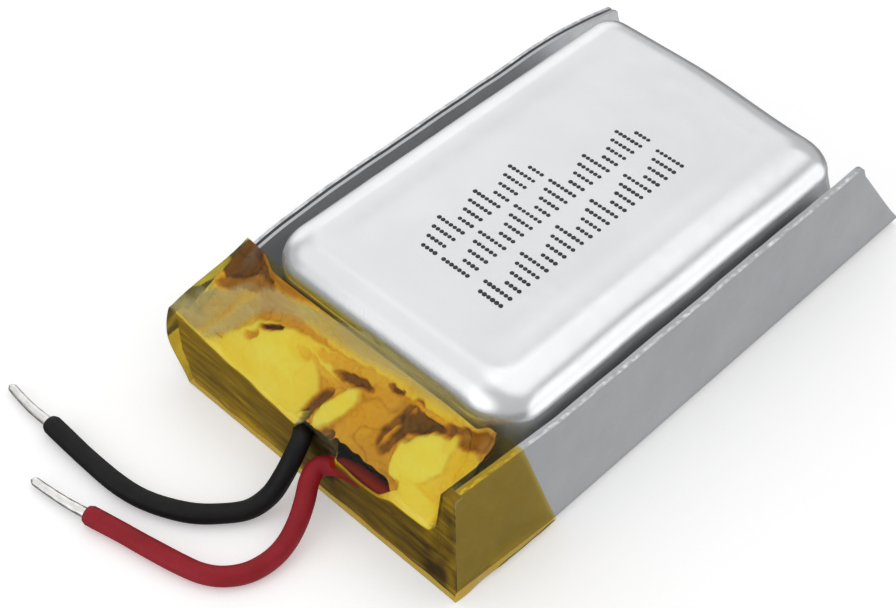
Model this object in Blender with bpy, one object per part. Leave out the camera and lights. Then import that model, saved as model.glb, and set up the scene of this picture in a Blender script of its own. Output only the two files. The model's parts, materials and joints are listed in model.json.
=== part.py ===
"""Small lithium-polymer pouch cell with a protection board and two short leads.

The cell lies on its back: +X across its width, +Y along its length, +Z up. The header with the
protection board is at -Y, the folded end of the pouch is at +Y, and z = 0 is the face it lies on.
"""

import math

import bmesh
import bpy
from mathutils import Vector

MM = 0.001

# Driving dimensions
WIDTH = 13.2 * MM  # over the tape, across the two folded side seals
LENGTH = 24.6 * MM  # from the taped front of the header to the folded end
THICKNESS = 6.5 * MM  # to the top of the drawn cup
FILM = 0.11 * MM  # aluminium laminate
TAPE = 0.05 * MM  # polyimide tape
GAP = 0.03 * MM  # clearance between pieces that touch

HALF_WIDTH = WIDTH / 2
FRONT = -LENGTH / 2
FAR = LENGTH / 2

# Pouch: the back half is the outer layer of each side seal, and the cup half is the inner one.
SEAL_FACE = HALF_WIDTH - TAPE - GAP  # outer face of the side seals at their foot
BACK_FACE = TAPE + GAP  # underside of the back half
CUP_LAYER = 2 * FILM + GAP  # depth from the pouch's outside to the exposed face of the cup half
SEAL_BEND = 0.30 * MM  # outer radius at the foot of a side seal
SEAL_NEAR = FRONT + TAPE + 0.10 * MM
SEAL_FAR = FAR
# Each side seal: height at the header, fall to the far end, lean of its top inwards, how far its ends
# are pressed down, and how much shorter it is at its top than at its foot.
RIGHT_SEAL = {"height": 5.14 * MM, "fall": 0.08 * MM, "lean": 0.17 * MM, "near_press": 0.0,
              "far_press": 0.0, "far_cut": 3.45 * MM}
LEFT_SEAL = {"height": 5.03 * MM, "fall": 0.0, "lean": 0.05 * MM, "near_press": 1.55 * MM,
             "far_press": 0.69 * MM, "far_cut": 2.15 * MM}
NEAR_PRESS_START = -4.0 * MM
FAR_PRESS_START = 5.0 * MM
HEADER_STATION_STEP = 0.75 * MM
FIRST_CELL_STATION = -6.0 * MM
CELL_STATION_STEP = 2.0 * MM
TERRACE_NEAR = FRONT + 0.45 * MM
FOLD_DRAW_IN = 1.60 * MM  # how far the middle of the folded edge is drawn in between the seals
DRAW_IN_START = 6.0 * MM
LIP_LEAN = 0.05 * MM  # how far each half of the fold's lip leans outwards

CUP_BASE = (-5.35 * MM, 5.98 * MM, -9.80 * MM, 9.60 * MM)  # low x, high x, near y, far y
CUP_SHOULDER = (-5.07 * MM, 5.85 * MM, -9.60 * MM, 8.10 * MM)
CUP_EDGE_RADIUS = 1.20 * MM
CUP_CORNER_RADIUS = 1.50 * MM
FAR_CORNER_SHARE = 0.60  # radius of the corners at the far end over that of the near ones
CUP_FAR_SKEW = 0.45 * MM  # how much nearer the top's far edge is on the right than on the left
CUP_SKEW_START = (-1.0 * MM, 3.0 * MM)  # x, y
CUP_SKEW_FULL = (5.0 * MM, 7.0 * MM)
CUP_FOOT_RADIUS = 0.18 * MM
RIM_CORNER_RADIUS = 0.10 * MM
SHARP_CORNER = 0.02 * MM
RIGHT_SPREAD = 0.28 * MM  # how far the right side stands out once it is past the header tape
RIGHT_SPREAD_SIDES = (4.50 * MM, 6.00 * MM)  # x where the spread starts, and where it is full
RIGHT_CUT = 0.40 * MM  # how much shorter the right side is than the left at its far end
RIGHT_CUT_START = 8.00 * MM
TERRACE_LIFT = 0.30 * MM  # room between the two halves where the tabs pass
TERRACE_HALF_WIDTH = 5.60 * MM
TERRACE_LIFT_START = -9.45 * MM

# Wound electrodes
WINDING_CENTRE = (0.36 * MM, 3.28 * MM)  # x, z
WINDING_TURNS = 5
WINDING_CORE_RADIUS = 0.15 * MM
WINDING_STRAIGHT = 2.50 * MM  # half the flat length between the round ends
ELECTRODE = 0.13 * MM
SEPARATOR = 0.05 * MM
LAYER_GAP = 0.02 * MM
WINDING_NEAR = -8.50 * MM
WINDING_FAR = 7.20 * MM
SEPARATOR_OVERHANG = 0.30 * MM
# Tape that holds the winding's outer end, on top of it: its low and high corners
END_TAPE = ((-1.50 * MM, -6.00 * MM, 6.15 * MM), (2.80 * MM, 5.00 * MM, 6.21 * MM))

# Cell tabs
TAB_X = 3.60 * MM
TAB_WIDTH = 2.00 * MM
TAB = 0.10 * MM
TAB_LEVEL = BACK_FACE + FILM + 0.16 * MM  # centre of the tab where it crosses the terrace
TAB_DROP = [(-8.55, 3.30), (-9.00, 3.25), (-9.26, 2.95), (-9.30, 0.80), (-9.42, 0.50)]  # y, z in mm
TAB_LANDING = -9.75 * MM  # where the tab reaches the terrace
TAB_BEND = 0.24 * MM
SEALANT = 0.05 * MM
SEALANT_MARGIN = 0.20 * MM  # how far the sealant shows on each side of the tab
SEALANT_ENDS = (-11.40 * MM, -10.30 * MM)

# Protection board
BOARD_HALF_LENGTH = 5.50 * MM
BOARD_NEAR = FRONT + 0.45 * MM
BOARD_FAR = -10.05 * MM
BOARD = 0.40 * MM
BOARD_BASE = 0.77 * MM
BOARD_TOP = BOARD_BASE + BOARD
INSULATOR = 0.08 * MM
WELD_PAD = 0.05 * MM
# Parts on the board, in mm: name, centre (x, y), size (x, y, height), material, bevel of the edges
BOARD_PARTS = [
    ("positive_weld_pad", (3.60, -10.95), (1.90, 1.00, 0.05), "nickel", 0.0),
    ("negative_weld_pad", (-3.60, -10.95), (1.90, 1.00, 0.05), "nickel", 0.0),
    ("dual_mosfet", (0.25, -10.72), (1.50, 1.20, 0.60), "package", 0.05),
    ("protection_ic", (1.80, -10.72), (1.20, 1.20, 0.60), "package", 0.05),
    ("filter_resistor", (-5.10, -11.30), (0.50, 0.90, 0.35), "package", 0.03),
    ("filter_capacitor", (-5.10, -10.47), (0.50, 0.70, 0.40), "ceramic", 0.03),
    ("sense_resistor", (-2.10, -10.92), (0.50, 0.90, 0.35), "package", 0.03),
]
SOLDER_JOINTS = {
    "black_solder_joint": (-1.15 * MM, -10.90 * MM),
    "red_solder_joint": (5.05 * MM, -11.00 * MM),
}
SOLDER_RADIUS = 0.34 * MM
SOLDER_HEIGHT = 0.36 * MM
TAB_TOP_LEVEL = BOARD_TOP + WELD_PAD + 2 * GAP + TAB / 2
TAB_UPRIGHT = BOARD_NEAR - 0.25 * MM  # the tab's upright run, in front of the board
TAB_END = BOARD_FAR - 0.45 * MM

# Leads
LEAD_DIAMETER = 0.70 * MM
CONDUCTOR_DIAMETER = 0.34 * MM
LEAD_SPACING = 1.0 * MM  # between the points of the drawn route
LEAD_SIDES = 2  # curve bevel resolution

# Routes of the leads' centre lines, from the solder joint to the end of the insulation, in mm.
BLACK_ROUTE = [
    (-1.15, -11.36, 1.62), (-1.05, -11.62, 1.80), (-0.80, -11.95, 2.05), (-0.50, -12.30, 2.16),
    (-0.35, -12.78, 1.90), (-0.32, -13.32, 1.32), (-0.36, -13.95, 0.78), (-0.62, -14.68, 0.46),
    (-1.22, -15.42, 0.37), (-2.02, -16.13, 0.36), (-3.25, -16.74, 0.36), (-4.47, -17.01, 0.36),
    (-6.14, -17.07, 0.36), (-8.35, -17.02, 0.36),
]
RED_ROUTE = [
    (5.05, -11.46, 1.60), (4.85, -11.62, 1.74), (4.25, -11.80, 1.92), (3.20, -11.86, 1.95),
    (2.30, -11.86, 1.90), (1.45, -11.90, 1.78), (0.75, -12.08, 1.66), (0.42, -12.50, 1.62),
    (0.56, -12.98, 1.48), (0.88, -13.50, 1.20), (1.16, -14.10, 0.88), (1.34, -14.78, 0.58),
    (1.37, -15.50, 0.42), (1.19, -16.28, 0.36), (0.77, -16.92, 0.36), (0.18, -17.35, 0.36),
    (-0.60, -17.62, 0.36), (-1.83, -17.92, 0.36), (-3.02, -18.18, 0.36), (-4.36, -18.50, 0.36),
]
BLACK_TIP = [(-8.44, -17.03, 0.34), (-9.30, -17.05, 0.30), (-10.10, -17.00, 0.27), (-10.80, -16.93, 0.26)]
RED_TIP = [(-4.45, -18.52, 0.34), (-5.20, -18.66, 0.30), (-6.10, -18.79, 0.27), (-6.90, -18.88, 0.26)]

# Tape stations across the header, in mm: x, far edge (y, z), height of the front top edge.
# The top sheet runs down from the near wall of the cup to the front edge, and rises over each seal.
TAPE_STATIONS = [
    (-6.58, (-9.00, 4.95), 3.62), (-6.10, (-9.05, 4.97), 3.64), (-5.88, (-9.15, 5.10), 3.25),
    (-5.10, (-9.50, 5.62), 3.15), (-4.20, (-9.63, 5.72), 3.08), (-1.60, (-9.63, 5.72), 2.72),
    (-0.40, (-9.63, 5.72), 2.56), (1.40, (-9.63, 5.72), 2.52), (3.60, (-9.63, 5.72), 2.60),
    (5.30, (-9.63, 5.60), 2.76), (5.72, (-9.55, 5.42), 3.30), (5.94, (-9.40, 5.28), 5.24),
    (6.43, (-9.35, 5.25), 5.24),
]
TAPE_FAR_BOTTOM = -7.70 * MM
BOARD_TAPE_PATH = [(-9.93 * MM, 3.30 * MM), (-10.60 * MM, 3.05 * MM), (-11.10 * MM, 2.75 * MM),
                   (-11.42 * MM, 2.48 * MM)]  # y, z
BOARD_TAPE_SIDES = (-5.60 * MM, 5.55 * MM)
LOOSE_CORNER = 0.50 * MM  # how far the wrap's top left front corner stands out
# Opening in the front of the wrap for the leads: its low and high corners
LEAD_SLOT = ((-1.10 * MM, FRONT - 0.60 * MM, 1.10 * MM), (1.20 * MM, FRONT + 0.55 * MM, 3.10 * MM))

COLOURS = {  # colour, roughness, metallic
    "laminate": ((0.70, 0.71, 0.72), 0.35, 0.9),
    "graphite": ((0.05, 0.05, 0.06), 0.6, 0.0),
    "cathode_coat": ((0.10, 0.09, 0.11), 0.6, 0.0),
    "separator": ((0.88, 0.88, 0.86), 0.5, 0.0),
    "green_tape": ((0.10, 0.42, 0.22), 0.4, 0.0),
    "aluminium": ((0.80, 0.80, 0.82), 0.3, 1.0),
    "nickel": ((0.62, 0.59, 0.54), 0.3, 1.0),
    "sealant": ((0.75, 0.72, 0.60), 0.5, 0.0),
    "board": ((0.05, 0.22, 0.10), 0.4, 0.0),
    "paper": ((0.45, 0.52, 0.42), 0.8, 0.0),
    "package": ((0.03, 0.03, 0.03), 0.5, 0.0),
    "ceramic": ((0.45, 0.33, 0.22), 0.4, 0.0),
    "solder": ((0.70, 0.70, 0.70), 0.25, 1.0),
    "polyimide": ((0.75, 0.50, 0.08), 0.15, 0.0),
    "black_pvc": ((0.02, 0.02, 0.02), 0.35, 0.0),
    "red_pvc": ((0.55, 0.03, 0.05), 0.35, 0.0),
    "tinned_copper": ((0.75, 0.74, 0.72), 0.3, 1.0),
}


def clear_scene():
    for obj in list(bpy.data.objects):
        bpy.data.objects.remove(obj, do_unlink=True)


def material(name):
    """The named Principled material, made on first use."""
    found = bpy.data.materials.get(name)
    if found:
        return found
    colour, roughness, metallic = COLOURS[name]
    made = bpy.data.materials.new(name)
    made.use_nodes = True
    shader = made.node_tree.nodes["Principled BSDF"]
    shader.inputs["Base Color"].default_value = (*colour, 1)
    shader.inputs["Roughness"].default_value = roughness
    shader.inputs["Metallic"].default_value = metallic
    return made


def add_object(name, data, material_name):
    obj = bpy.data.objects.new(name, data)
    obj.data.materials.append(material(material_name))
    bpy.context.scene.collection.objects.link(obj)
    return obj


def mesh_object(name, bm, material_name, smooth_angle=None):
    """Makes an object of the bmesh, with its faces turned outwards."""
    bmesh.ops.recalc_face_normals(bm, faces=bm.faces)
    mesh = bpy.data.meshes.new(name)
    bm.to_mesh(mesh)
    bm.free()
    if smooth_angle:
        mesh.shade_smooth()
        mesh.set_sharp_from_angle(angle=math.radians(smooth_angle))
    return add_object(name, mesh, material_name)


def sheet_object(name, bm, thickness, material_name):
    """Makes an object of an open sheet, thickened away from the side that its normals show."""
    mesh = bpy.data.meshes.new(name)
    bm.to_mesh(mesh)
    bm.free()
    mesh.shade_smooth()
    mesh.set_sharp_from_angle(angle=math.radians(40))
    obj = add_object(name, mesh, material_name)
    solidify = obj.modifiers.new("Thickness", "SOLIDIFY")
    solidify.thickness = thickness
    solidify.offset = -1
    solidify.use_even_offset = True
    return obj


def box_object(name, low, high, material_name, bevel=0.0):
    """A block between two corners, with its edges bevelled."""
    bm = bmesh.new()
    bmesh.ops.create_cube(bm, size=1)
    middle = (Vector(low) + Vector(high)) / 2
    size = Vector(high) - Vector(low)
    for vert in bm.verts:
        vert.co = Vector(c * s for c, s in zip(vert.co, size)) + middle
    if bevel:
        bmesh.ops.bevel(bm, geom=bm.edges[:], offset=bevel, segments=1, affect="EDGES")
    return mesh_object(name, bm, material_name)


def bridge(bm, first, second, closed=True):
    """Quads between two rows of the same number of vertices."""
    count = len(first)
    for i in range(count if closed else count - 1):
        j = (i + 1) % count
        bm.faces.new((first[i], first[j], second[j], second[i]))


def smoothstep(value):
    value = min(1.0, max(0.0, value))
    return value * value * (3 - 2 * value)


# Pouch


def seal_height(seal, y):
    """Height of the top edge of a side seal at this place along the cell."""
    top_far = SEAL_FAR - seal["far_cut"]
    along = (y - SEAL_NEAR) / (top_far - SEAL_NEAR)
    near = max(0.0, (NEAR_PRESS_START - y) / (NEAR_PRESS_START - SEAL_NEAR))
    far = max(0.0, (y - FAR_PRESS_START) / (top_far - FAR_PRESS_START))
    pressed = seal["near_press"] * near ** 3 + seal["far_press"] * far ** 2
    return seal["height"] - seal["fall"] * along - pressed


def seal_column(bm, base, side, depth):
    """The row of vertices that goes up a side seal from one vertex at its foot.

    depth is how far the drawn face lies inside the pouch's outer face.
    """
    seal = RIGHT_SEAL if side > 0 else LEFT_SEAL
    radius = SEAL_BEND - depth
    foot = BACK_FACE + depth
    column = [base]
    share_along = (base.co.y - SEAL_NEAR) / (SEAL_FAR - SEAL_NEAR)
    top = seal_height(seal, base.co.y - seal["far_cut"] * share_along)
    profile = [(radius * math.sin(a), foot + radius * (1 - math.cos(a)))
               for a in (math.pi / 6, math.pi / 3, math.pi / 2)]
    wall_base = foot + radius
    profile += [(radius, wall_base + (top - wall_base) * step / 4) for step in range(1, 5)]
    for out, z in profile:
        share_up = max(0.0, (z - wall_base) / (seal["height"] - wall_base))
        x = SEAL_FACE - SEAL_BEND + out - seal["lean"] * share_up
        y = base.co.y - seal["far_cut"] * share_up * share_along
        column.append(bm.verts.new((side * x, y, z)))
    return column


def add_side_seal(bm, foot_vertices, side, depth):
    """The folded-up side seal on the edge that these vertices, ordered from near to far, make."""
    columns = [seal_column(bm, vert, side, depth) for vert in foot_vertices]
    for near, far in zip(columns, columns[1:]):
        for (a, b), (d, c) in zip(zip(near, near[1:]), zip(far, far[1:])):
            bm.faces.new((a, b, c, d) if side < 0 else (a, d, c, b))


def side_stations():
    """Places along the cell where the side seals have a column of vertices."""
    header_part = [SEAL_NEAR + step * HEADER_STATION_STEP for step in range(5)]
    cell_part = [FIRST_CELL_STATION + step * CELL_STATION_STEP for step in range(10)]
    return header_part + cell_part + [SEAL_FAR]


def fold_edge(x):
    """Y of the folded edge at the far end: level with the seals at the sides, drawn in between."""
    share = abs(x) / (SEAL_FACE - SEAL_BEND)
    return SEAL_FAR - FOLD_DRAW_IN * (1 - share ** 3)


def spread_right_side(bm):
    """Moves the right side outwards, more and more over the header, and draws its far end in."""
    start, full = RIGHT_SPREAD_SIDES
    for vert in bm.verts:
        x, y, z = vert.co
        beside = smoothstep((x - start) / (full - start))
        along = min(1.0, (y - FRONT) / (TAPE_FAR_BOTTOM - FRONT))
        far = smoothstep((y - RIGHT_CUT_START) / (FAR - RIGHT_CUT_START))
        vert.co = (x + RIGHT_SPREAD * beside * along, y - RIGHT_CUT * beside * far, z)


def turn_sheet(bm, highest):
    """Turns the sheet so that its highest face, or its lowest, shows its outer side."""
    bmesh.ops.recalc_face_normals(bm, faces=bm.faces)
    pick = max if highest else min
    outermost = pick(bm.faces, key=lambda face: face.calc_center_median().z)
    if (outermost.normal.z > 0) != highest:
        bmesh.ops.reverse_faces(bm, faces=bm.faces)


def make_back_half():
    """The flat half: the back, the outer layer of both side seals, and the fold at the far end."""
    bm = bmesh.new()
    foot_x = SEAL_FACE - SEAL_BEND
    columns = 12
    rows = []
    for y in side_stations():
        row = []
        for step in range(columns + 1):
            x = foot_x * (2 * step / columns - 1)
            share = smoothstep((y - DRAW_IN_START) / (SEAL_FAR - DRAW_IN_START))
            drawn_in = (SEAL_FAR - fold_edge(x)) * share
            row.append(bm.verts.new((x, y - drawn_in, BACK_FACE)))
        rows.append(row)
    for near, far in zip(rows, rows[1:]):
        bridge(bm, near, far, closed=False)
    lower = rows[-1][1:-1]
    for _ in range(2):
        upper = [bm.verts.new(vert.co + Vector((0, LIP_LEAN, CUP_LAYER / 2))) for vert in lower]
        bridge(bm, lower, upper, closed=False)
        lower = upper
    for side in (-1, 1):
        add_side_seal(bm, [row[0 if side < 0 else -1] for row in rows], side, 0.0)
    spread_right_side(bm)
    turn_sheet(bm, highest=False)
    return sheet_object("pouch_back_half", bm, FILM, "laminate")


def rounded_rectangle(low_x, high_x, near_y, far_y, radius, z_of):
    """Points of a rounded rectangle, the same number whatever its size, anticlockwise from above."""
    corner_steps, long_steps, short_steps = 5, 8, 10
    far_radius = radius * FAR_CORNER_SHARE
    corners = [  # centre, radius, the angle where it starts
        (high_x - radius, near_y + radius, radius, -90),
        (high_x - far_radius, far_y - far_radius, far_radius, 0),
        (low_x + far_radius, far_y - far_radius, far_radius, 90),
        (low_x + radius, near_y + radius, radius, 180),
    ]
    points = []
    for index, (cx, cy, corner_radius, start) in enumerate(corners):
        for step in range(corner_steps + 1):
            angle = math.radians(start + 90 * step / corner_steps)
            points.append((cx + corner_radius * math.cos(angle), cy + corner_radius * math.sin(angle)))
        next_x, next_y, next_radius, next_start = corners[(index + 1) % 4]
        angle = math.radians(next_start)
        goal = (next_x + next_radius * math.cos(angle), next_y + next_radius * math.sin(angle))
        last = points[-1]
        steps = long_steps if index % 2 == 0 else short_steps
        for step in range(1, steps):
            share = step / steps
            x = last[0] + share * (goal[0] - last[0])
            y = last[1] + share * (goal[1] - last[1])
            points.append((x, y))
    return [(x, y, z_of(x, y)) for x, y in points]


def terrace_lift(x, y):
    """How far the cup half stands off the back half at the terrace, where the tabs pass."""
    along = smoothstep((TERRACE_LIFT_START - y) / TERRACE_LIFT)
    across = smoothstep((TERRACE_HALF_WIDTH - abs(x)) / (2 * TERRACE_LIFT))
    return TERRACE_LIFT * along * across


def rim_level(x, y):
    return BACK_FACE + CUP_LAYER + terrace_lift(x, y)


def skew_far_edge(point):
    """Draws the cup's far edge nearer towards its right side, fully at the top and not at its foot."""
    x, y, z = point
    up = smoothstep(z / (THICKNESS - CUP_EDGE_RADIUS))
    right, far = (smoothstep((value - start) / (full - start))
                  for value, start, full in zip((x, y), CUP_SKEW_START, CUP_SKEW_FULL))
    return x, y - CUP_FAR_SKEW * up * right * far, z


def cup_rings():
    """Rings of the cup from the flat rim to its top: corners, corner radius and a height function."""
    foot = CUP_FOOT_RADIUS
    base_x0, base_x1, base_y0, base_y1 = CUP_BASE
    middle_x0 = (base_x0 - foot - SEAL_FACE + SEAL_BEND) / 2
    middle_x1 = (base_x1 + foot + SEAL_FACE - SEAL_BEND) / 2
    rim_sides = (middle_x0, middle_x1, base_y0 - 2 * foot, base_y1 + 2 * foot)
    rings = [(rim_sides, RIM_CORNER_RADIUS, rim_level)]
    for angle in (0, 45, 90):
        out = foot * (1 - math.sin(math.radians(angle)))
        rise = foot * (1 - math.cos(math.radians(angle)))
        sides = (base_x0 - out, base_x1 + out, base_y0 - out, base_y1 + out)
        rings.append((sides, CUP_CORNER_RADIUS + out, lambda x, y, rise=rise: rim_level(x, y) + rise))
    shoulder = THICKNESS - CUP_EDGE_RADIUS
    for angle in (0, 18, 36, 54, 72, 90):
        inset = CUP_EDGE_RADIUS * (1 - math.cos(math.radians(angle)))
        level = shoulder + CUP_EDGE_RADIUS * math.sin(math.radians(angle))
        x0, x1, y0, y1 = CUP_SHOULDER
        sides = (x0 + inset, x1 - inset, y0 + inset, y1 - inset)
        rings.append((sides, CUP_CORNER_RADIUS - inset, lambda x, y, level=level: level))
    return rings


def make_cup_half():
    """The drawn half: the cup, its flat rim, the terrace and the inner layer of both side seals."""
    bm = bmesh.new()
    foot_x = SEAL_FACE - SEAL_BEND
    outline = rounded_rectangle(-foot_x, foot_x, TERRACE_NEAR, SEAL_FAR, SHARP_CORNER, rim_level)
    outline = [(x, min(y, fold_edge(x) - FILM - GAP), z) for x, y, z in outline]
    rings = [[bm.verts.new(point) for point in outline]]
    for sides, radius, z_of in cup_rings():
        points = rounded_rectangle(*sides, radius, z_of)
        rings.append([bm.verts.new(skew_far_edge(point)) for point in points])
    for outer, inner in zip(rings, rings[1:]):
        bridge(bm, outer, inner)
    bm.faces.new(rings[-1])
    for side in (-1, 1):
        foot = [v for v in rings[0] if abs(v.co.x - side * foot_x) < 1e-7]
        add_side_seal(bm, sorted(foot, key=lambda v: v.co.y), side, CUP_LAYER)
    spread_right_side(bm)
    turn_sheet(bm, highest=True)
    return sheet_object("pouch_cup_half", bm, FILM, "laminate")


# Electrodes


def spiral_points(start_radius):
    """A flat spiral about the winding's centre, in half turns joined by straight runs."""
    pitch = 2 * (ELECTRODE + SEPARATOR + 2 * LAYER_GAP)
    steps = 8
    points = []
    for half_turn in range(2 * WINDING_TURNS):
        side = 1 if half_turn % 2 == 0 else -1
        for step in range(steps + 1):
            share = step / steps
            radius = start_radius + pitch * (half_turn + share) / 2
            angle = -math.pi / 2 + math.pi * (half_turn + share)
            x = side * WINDING_STRAIGHT + radius * math.cos(angle)
            points.append((x, radius * math.sin(angle), angle))
    return points


def make_winding_layer(name, start_radius, thickness, near, far, material_name):
    """One wound foil or film: a spiral strip, extruded along the cell."""
    bm = bmesh.new()
    centre_x, centre_z = WINDING_CENTRE
    rows = []
    for x, z, angle in spiral_points(start_radius):
        out_x, out_z = thickness * math.cos(angle), thickness * math.sin(angle)
        inner = (centre_x + x, centre_z + z)
        outer = (inner[0] + out_x, inner[1] + out_z)
        rows.append([bm.verts.new((px, y, pz)) for (px, pz), y in
                     ((inner, near), (outer, near), (outer, far), (inner, far))])
    for first, second in zip(rows, rows[1:]):
        bridge(bm, first, second)
    bm.faces.new(rows[0])
    bm.faces.new(rows[-1])
    return mesh_object(name, bm, material_name, 40)


def make_winding():
    step = ELECTRODE + SEPARATOR + 2 * LAYER_GAP
    near, far = WINDING_NEAR, WINDING_FAR
    over = SEPARATOR_OVERHANG
    radius = WINDING_CORE_RADIUS
    separator_radius = radius + ELECTRODE + LAYER_GAP
    make_winding_layer("anode", radius, ELECTRODE, near + over, far - over, "graphite")
    make_winding_layer("inner_separator", separator_radius, SEPARATOR, near, far, "separator")
    make_winding_layer("cathode", radius + step, ELECTRODE, near + 2 * over, far - 2 * over, "cathode_coat")
    make_winding_layer("outer_separator", separator_radius + step, SEPARATOR, near, far, "separator")
    box_object("winding_end_tape", *END_TAPE, "green_tape")


# Tabs


def make_ribbon(name, path, thickness, low_x, high_x, material_name):
    """A strip of sheet metal that follows a path of (y, z) points."""
    bm = bmesh.new()
    rows = []
    for index, (y, z) in enumerate(path):
        before = path[max(index - 1, 0)]
        after = path[min(index + 1, len(path) - 1)]
        first = Vector((y - before[0], z - before[1])).normalized() if index else None
        second = Vector((after[0] - y, after[1] - z)).normalized() if index < len(path) - 1 else None
        along = ((first or second) + (second or first)).normalized()
        normal = Vector((-along.y, along.x))
        half = thickness / 2 / normal.dot(Vector((-(second or first).y, (second or first).x)))
        low, high = Vector((y, z)) - normal * half, Vector((y, z)) + normal * half
        rows.append([bm.verts.new((x, p.x, p.y)) for p, x in
                     ((low, low_x), (high, low_x), (high, high_x), (low, high_x))])
    for first_row, second_row in zip(rows, rows[1:]):
        bridge(bm, first_row, second_row)
    bm.faces.new(rows[0])
    bm.faces.new(rows[-1])
    return mesh_object(name, bm, material_name)


def tab_path():
    """From the winding down to the terrace, through the seal, and up over the board's front edge."""
    path = [(y * MM, z * MM) for y, z in TAB_DROP]
    path += [
        (TAB_LANDING, TAB_LEVEL), (TAB_UPRIGHT + TAB_BEND, TAB_LEVEL),
        (TAB_UPRIGHT, TAB_LEVEL + TAB_BEND), (TAB_UPRIGHT, TAB_TOP_LEVEL - TAB_BEND),
        (TAB_UPRIGHT + TAB_BEND, TAB_TOP_LEVEL), (TAB_END, TAB_TOP_LEVEL),
    ]
    return path


def make_sealant(name, centre_x):
    """The sleeve of hot-melt film round a tab where it crosses the terrace seal."""
    bm = bmesh.new()
    half_slot = (TAB_WIDTH / 2 + GAP, TAB / 2 + GAP)
    half_outer = (half_slot[0] + SEALANT_MARGIN, half_slot[1] + SEALANT)
    rings = []
    for y in SEALANT_ENDS:
        for half_x, half_z in (half_outer, half_slot):
            corners = [(-half_x, -half_z), (half_x, -half_z), (half_x, half_z), (-half_x, half_z)]
            rings.append([bm.verts.new((centre_x + dx, y, TAB_LEVEL + dz)) for dx, dz in corners])
    near_outer, near_slot, far_outer, far_slot = rings
    bridge(bm, near_outer, far_outer)
    bridge(bm, near_slot, far_slot)
    bridge(bm, near_outer, near_slot)
    bridge(bm, far_outer, far_slot)
    return mesh_object(name, bm, "sealant")


def make_tabs():
    for name, side, metal in (("positive_tab", 1, "aluminium"), ("negative_tab", -1, "nickel")):
        centre = side * TAB_X
        make_ribbon(name, tab_path(), TAB, centre - TAB_WIDTH / 2, centre + TAB_WIDTH / 2, metal)
        make_sealant(name + "_sealant", centre)


# Protection board


def board_piece(name, centre, size, material_name, bevel):
    """A piece that stands on the board's top face; centre, size and bevel are in millimetres."""
    low = [(c - s / 2) * MM for c, s in zip(centre, size)]
    high = [(c + s / 2) * MM for c, s in zip(centre, size)]
    foot = BOARD_TOP + GAP
    return box_object(name, (*low, foot), (*high, foot + size[2] * MM), material_name, bevel * MM)


def make_solder_joint(name, x, y):
    """A dome of solder with a flat foot."""
    bm = bmesh.new()
    sides = 16
    turns = [2 * math.pi * step / sides for step in range(sides)]
    rings = []
    for angle in (0, 22.5, 45, 67.5):
        radius = SOLDER_RADIUS * math.cos(math.radians(angle))
        z = BOARD_TOP + GAP + SOLDER_HEIGHT * math.sin(math.radians(angle))
        rings.append([bm.verts.new((x + radius * math.cos(t), y + radius * math.sin(t), z)) for t in turns])
    for lower, upper in zip(rings, rings[1:]):
        bridge(bm, lower, upper)
    bm.faces.new(rings[0])
    bm.faces.new(rings[-1])
    return mesh_object(name, bm, "solder", 40)


def make_board():
    half = BOARD_HALF_LENGTH
    insulator_top = BOARD_BASE - GAP
    box_object("board_insulator", (-half, BOARD_NEAR, insulator_top - INSULATOR),
               (half, BOARD_FAR - 0.05 * MM, insulator_top), "paper")
    box_object("circuit_board", (-half, BOARD_NEAR, BOARD_BASE), (half, BOARD_FAR, BOARD_TOP), "board",
               0.03 * MM)
    for part in BOARD_PARTS:
        board_piece(*part)
    for name, place in SOLDER_JOINTS.items():
        make_solder_joint(name, *place)


# Leads


def catmull_rom(points, spacing):
    """Points about this far apart on a smooth curve through the given ones."""
    route = [Vector(point) for point in points]
    padded = [2 * route[0] - route[1], *route, 2 * route[-1] - route[-2]]
    smooth = [route[0]]
    for a, b, c, d in zip(padded, padded[1:], padded[2:], padded[3:]):
        steps = max(1, round((c - b).length / spacing))
        for step in range(1, steps + 1):
            t = step / steps
            smooth.append(0.5 * ((2 * b) + (c - a) * t + (2 * a - 5 * b + 4 * c - d) * t * t
                                 + (3 * b - a - 3 * c + d) * t ** 3))
    return smooth


def make_wire(name, route, diameter, material_name):
    """A round wire along a route in millimetres."""
    points = [point * MM for point in catmull_rom(route, LEAD_SPACING / MM)]
    curve = bpy.data.curves.new(name, "CURVE")
    curve.dimensions = "3D"
    curve.bevel_depth = diameter / 2
    curve.bevel_resolution = LEAD_SIDES
    curve.use_fill_caps = True
    spline = curve.splines.new("POLY")
    spline.points.add(len(points) - 1)
    for target, point in zip(spline.points, points):
        target.co = (*point, 1)
    return add_object(name, curve, material_name)


def make_leads():
    make_wire("black_lead", BLACK_ROUTE, LEAD_DIAMETER, "black_pvc")
    make_wire("red_lead", RED_ROUTE, LEAD_DIAMETER, "red_pvc")
    make_wire("black_lead_tinned_end", BLACK_TIP, CONDUCTOR_DIAMETER, "tinned_copper")
    make_wire("red_lead_tinned_end", RED_TIP, CONDUCTOR_DIAMETER, "tinned_copper")


# Tape


def make_board_tape():
    """The strip of tape stuck over the board's parts, under the outer wrap."""
    make_ribbon("board_tape", BOARD_TAPE_PATH, TAPE, *BOARD_TAPE_SIDES, "polyimide")


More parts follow.
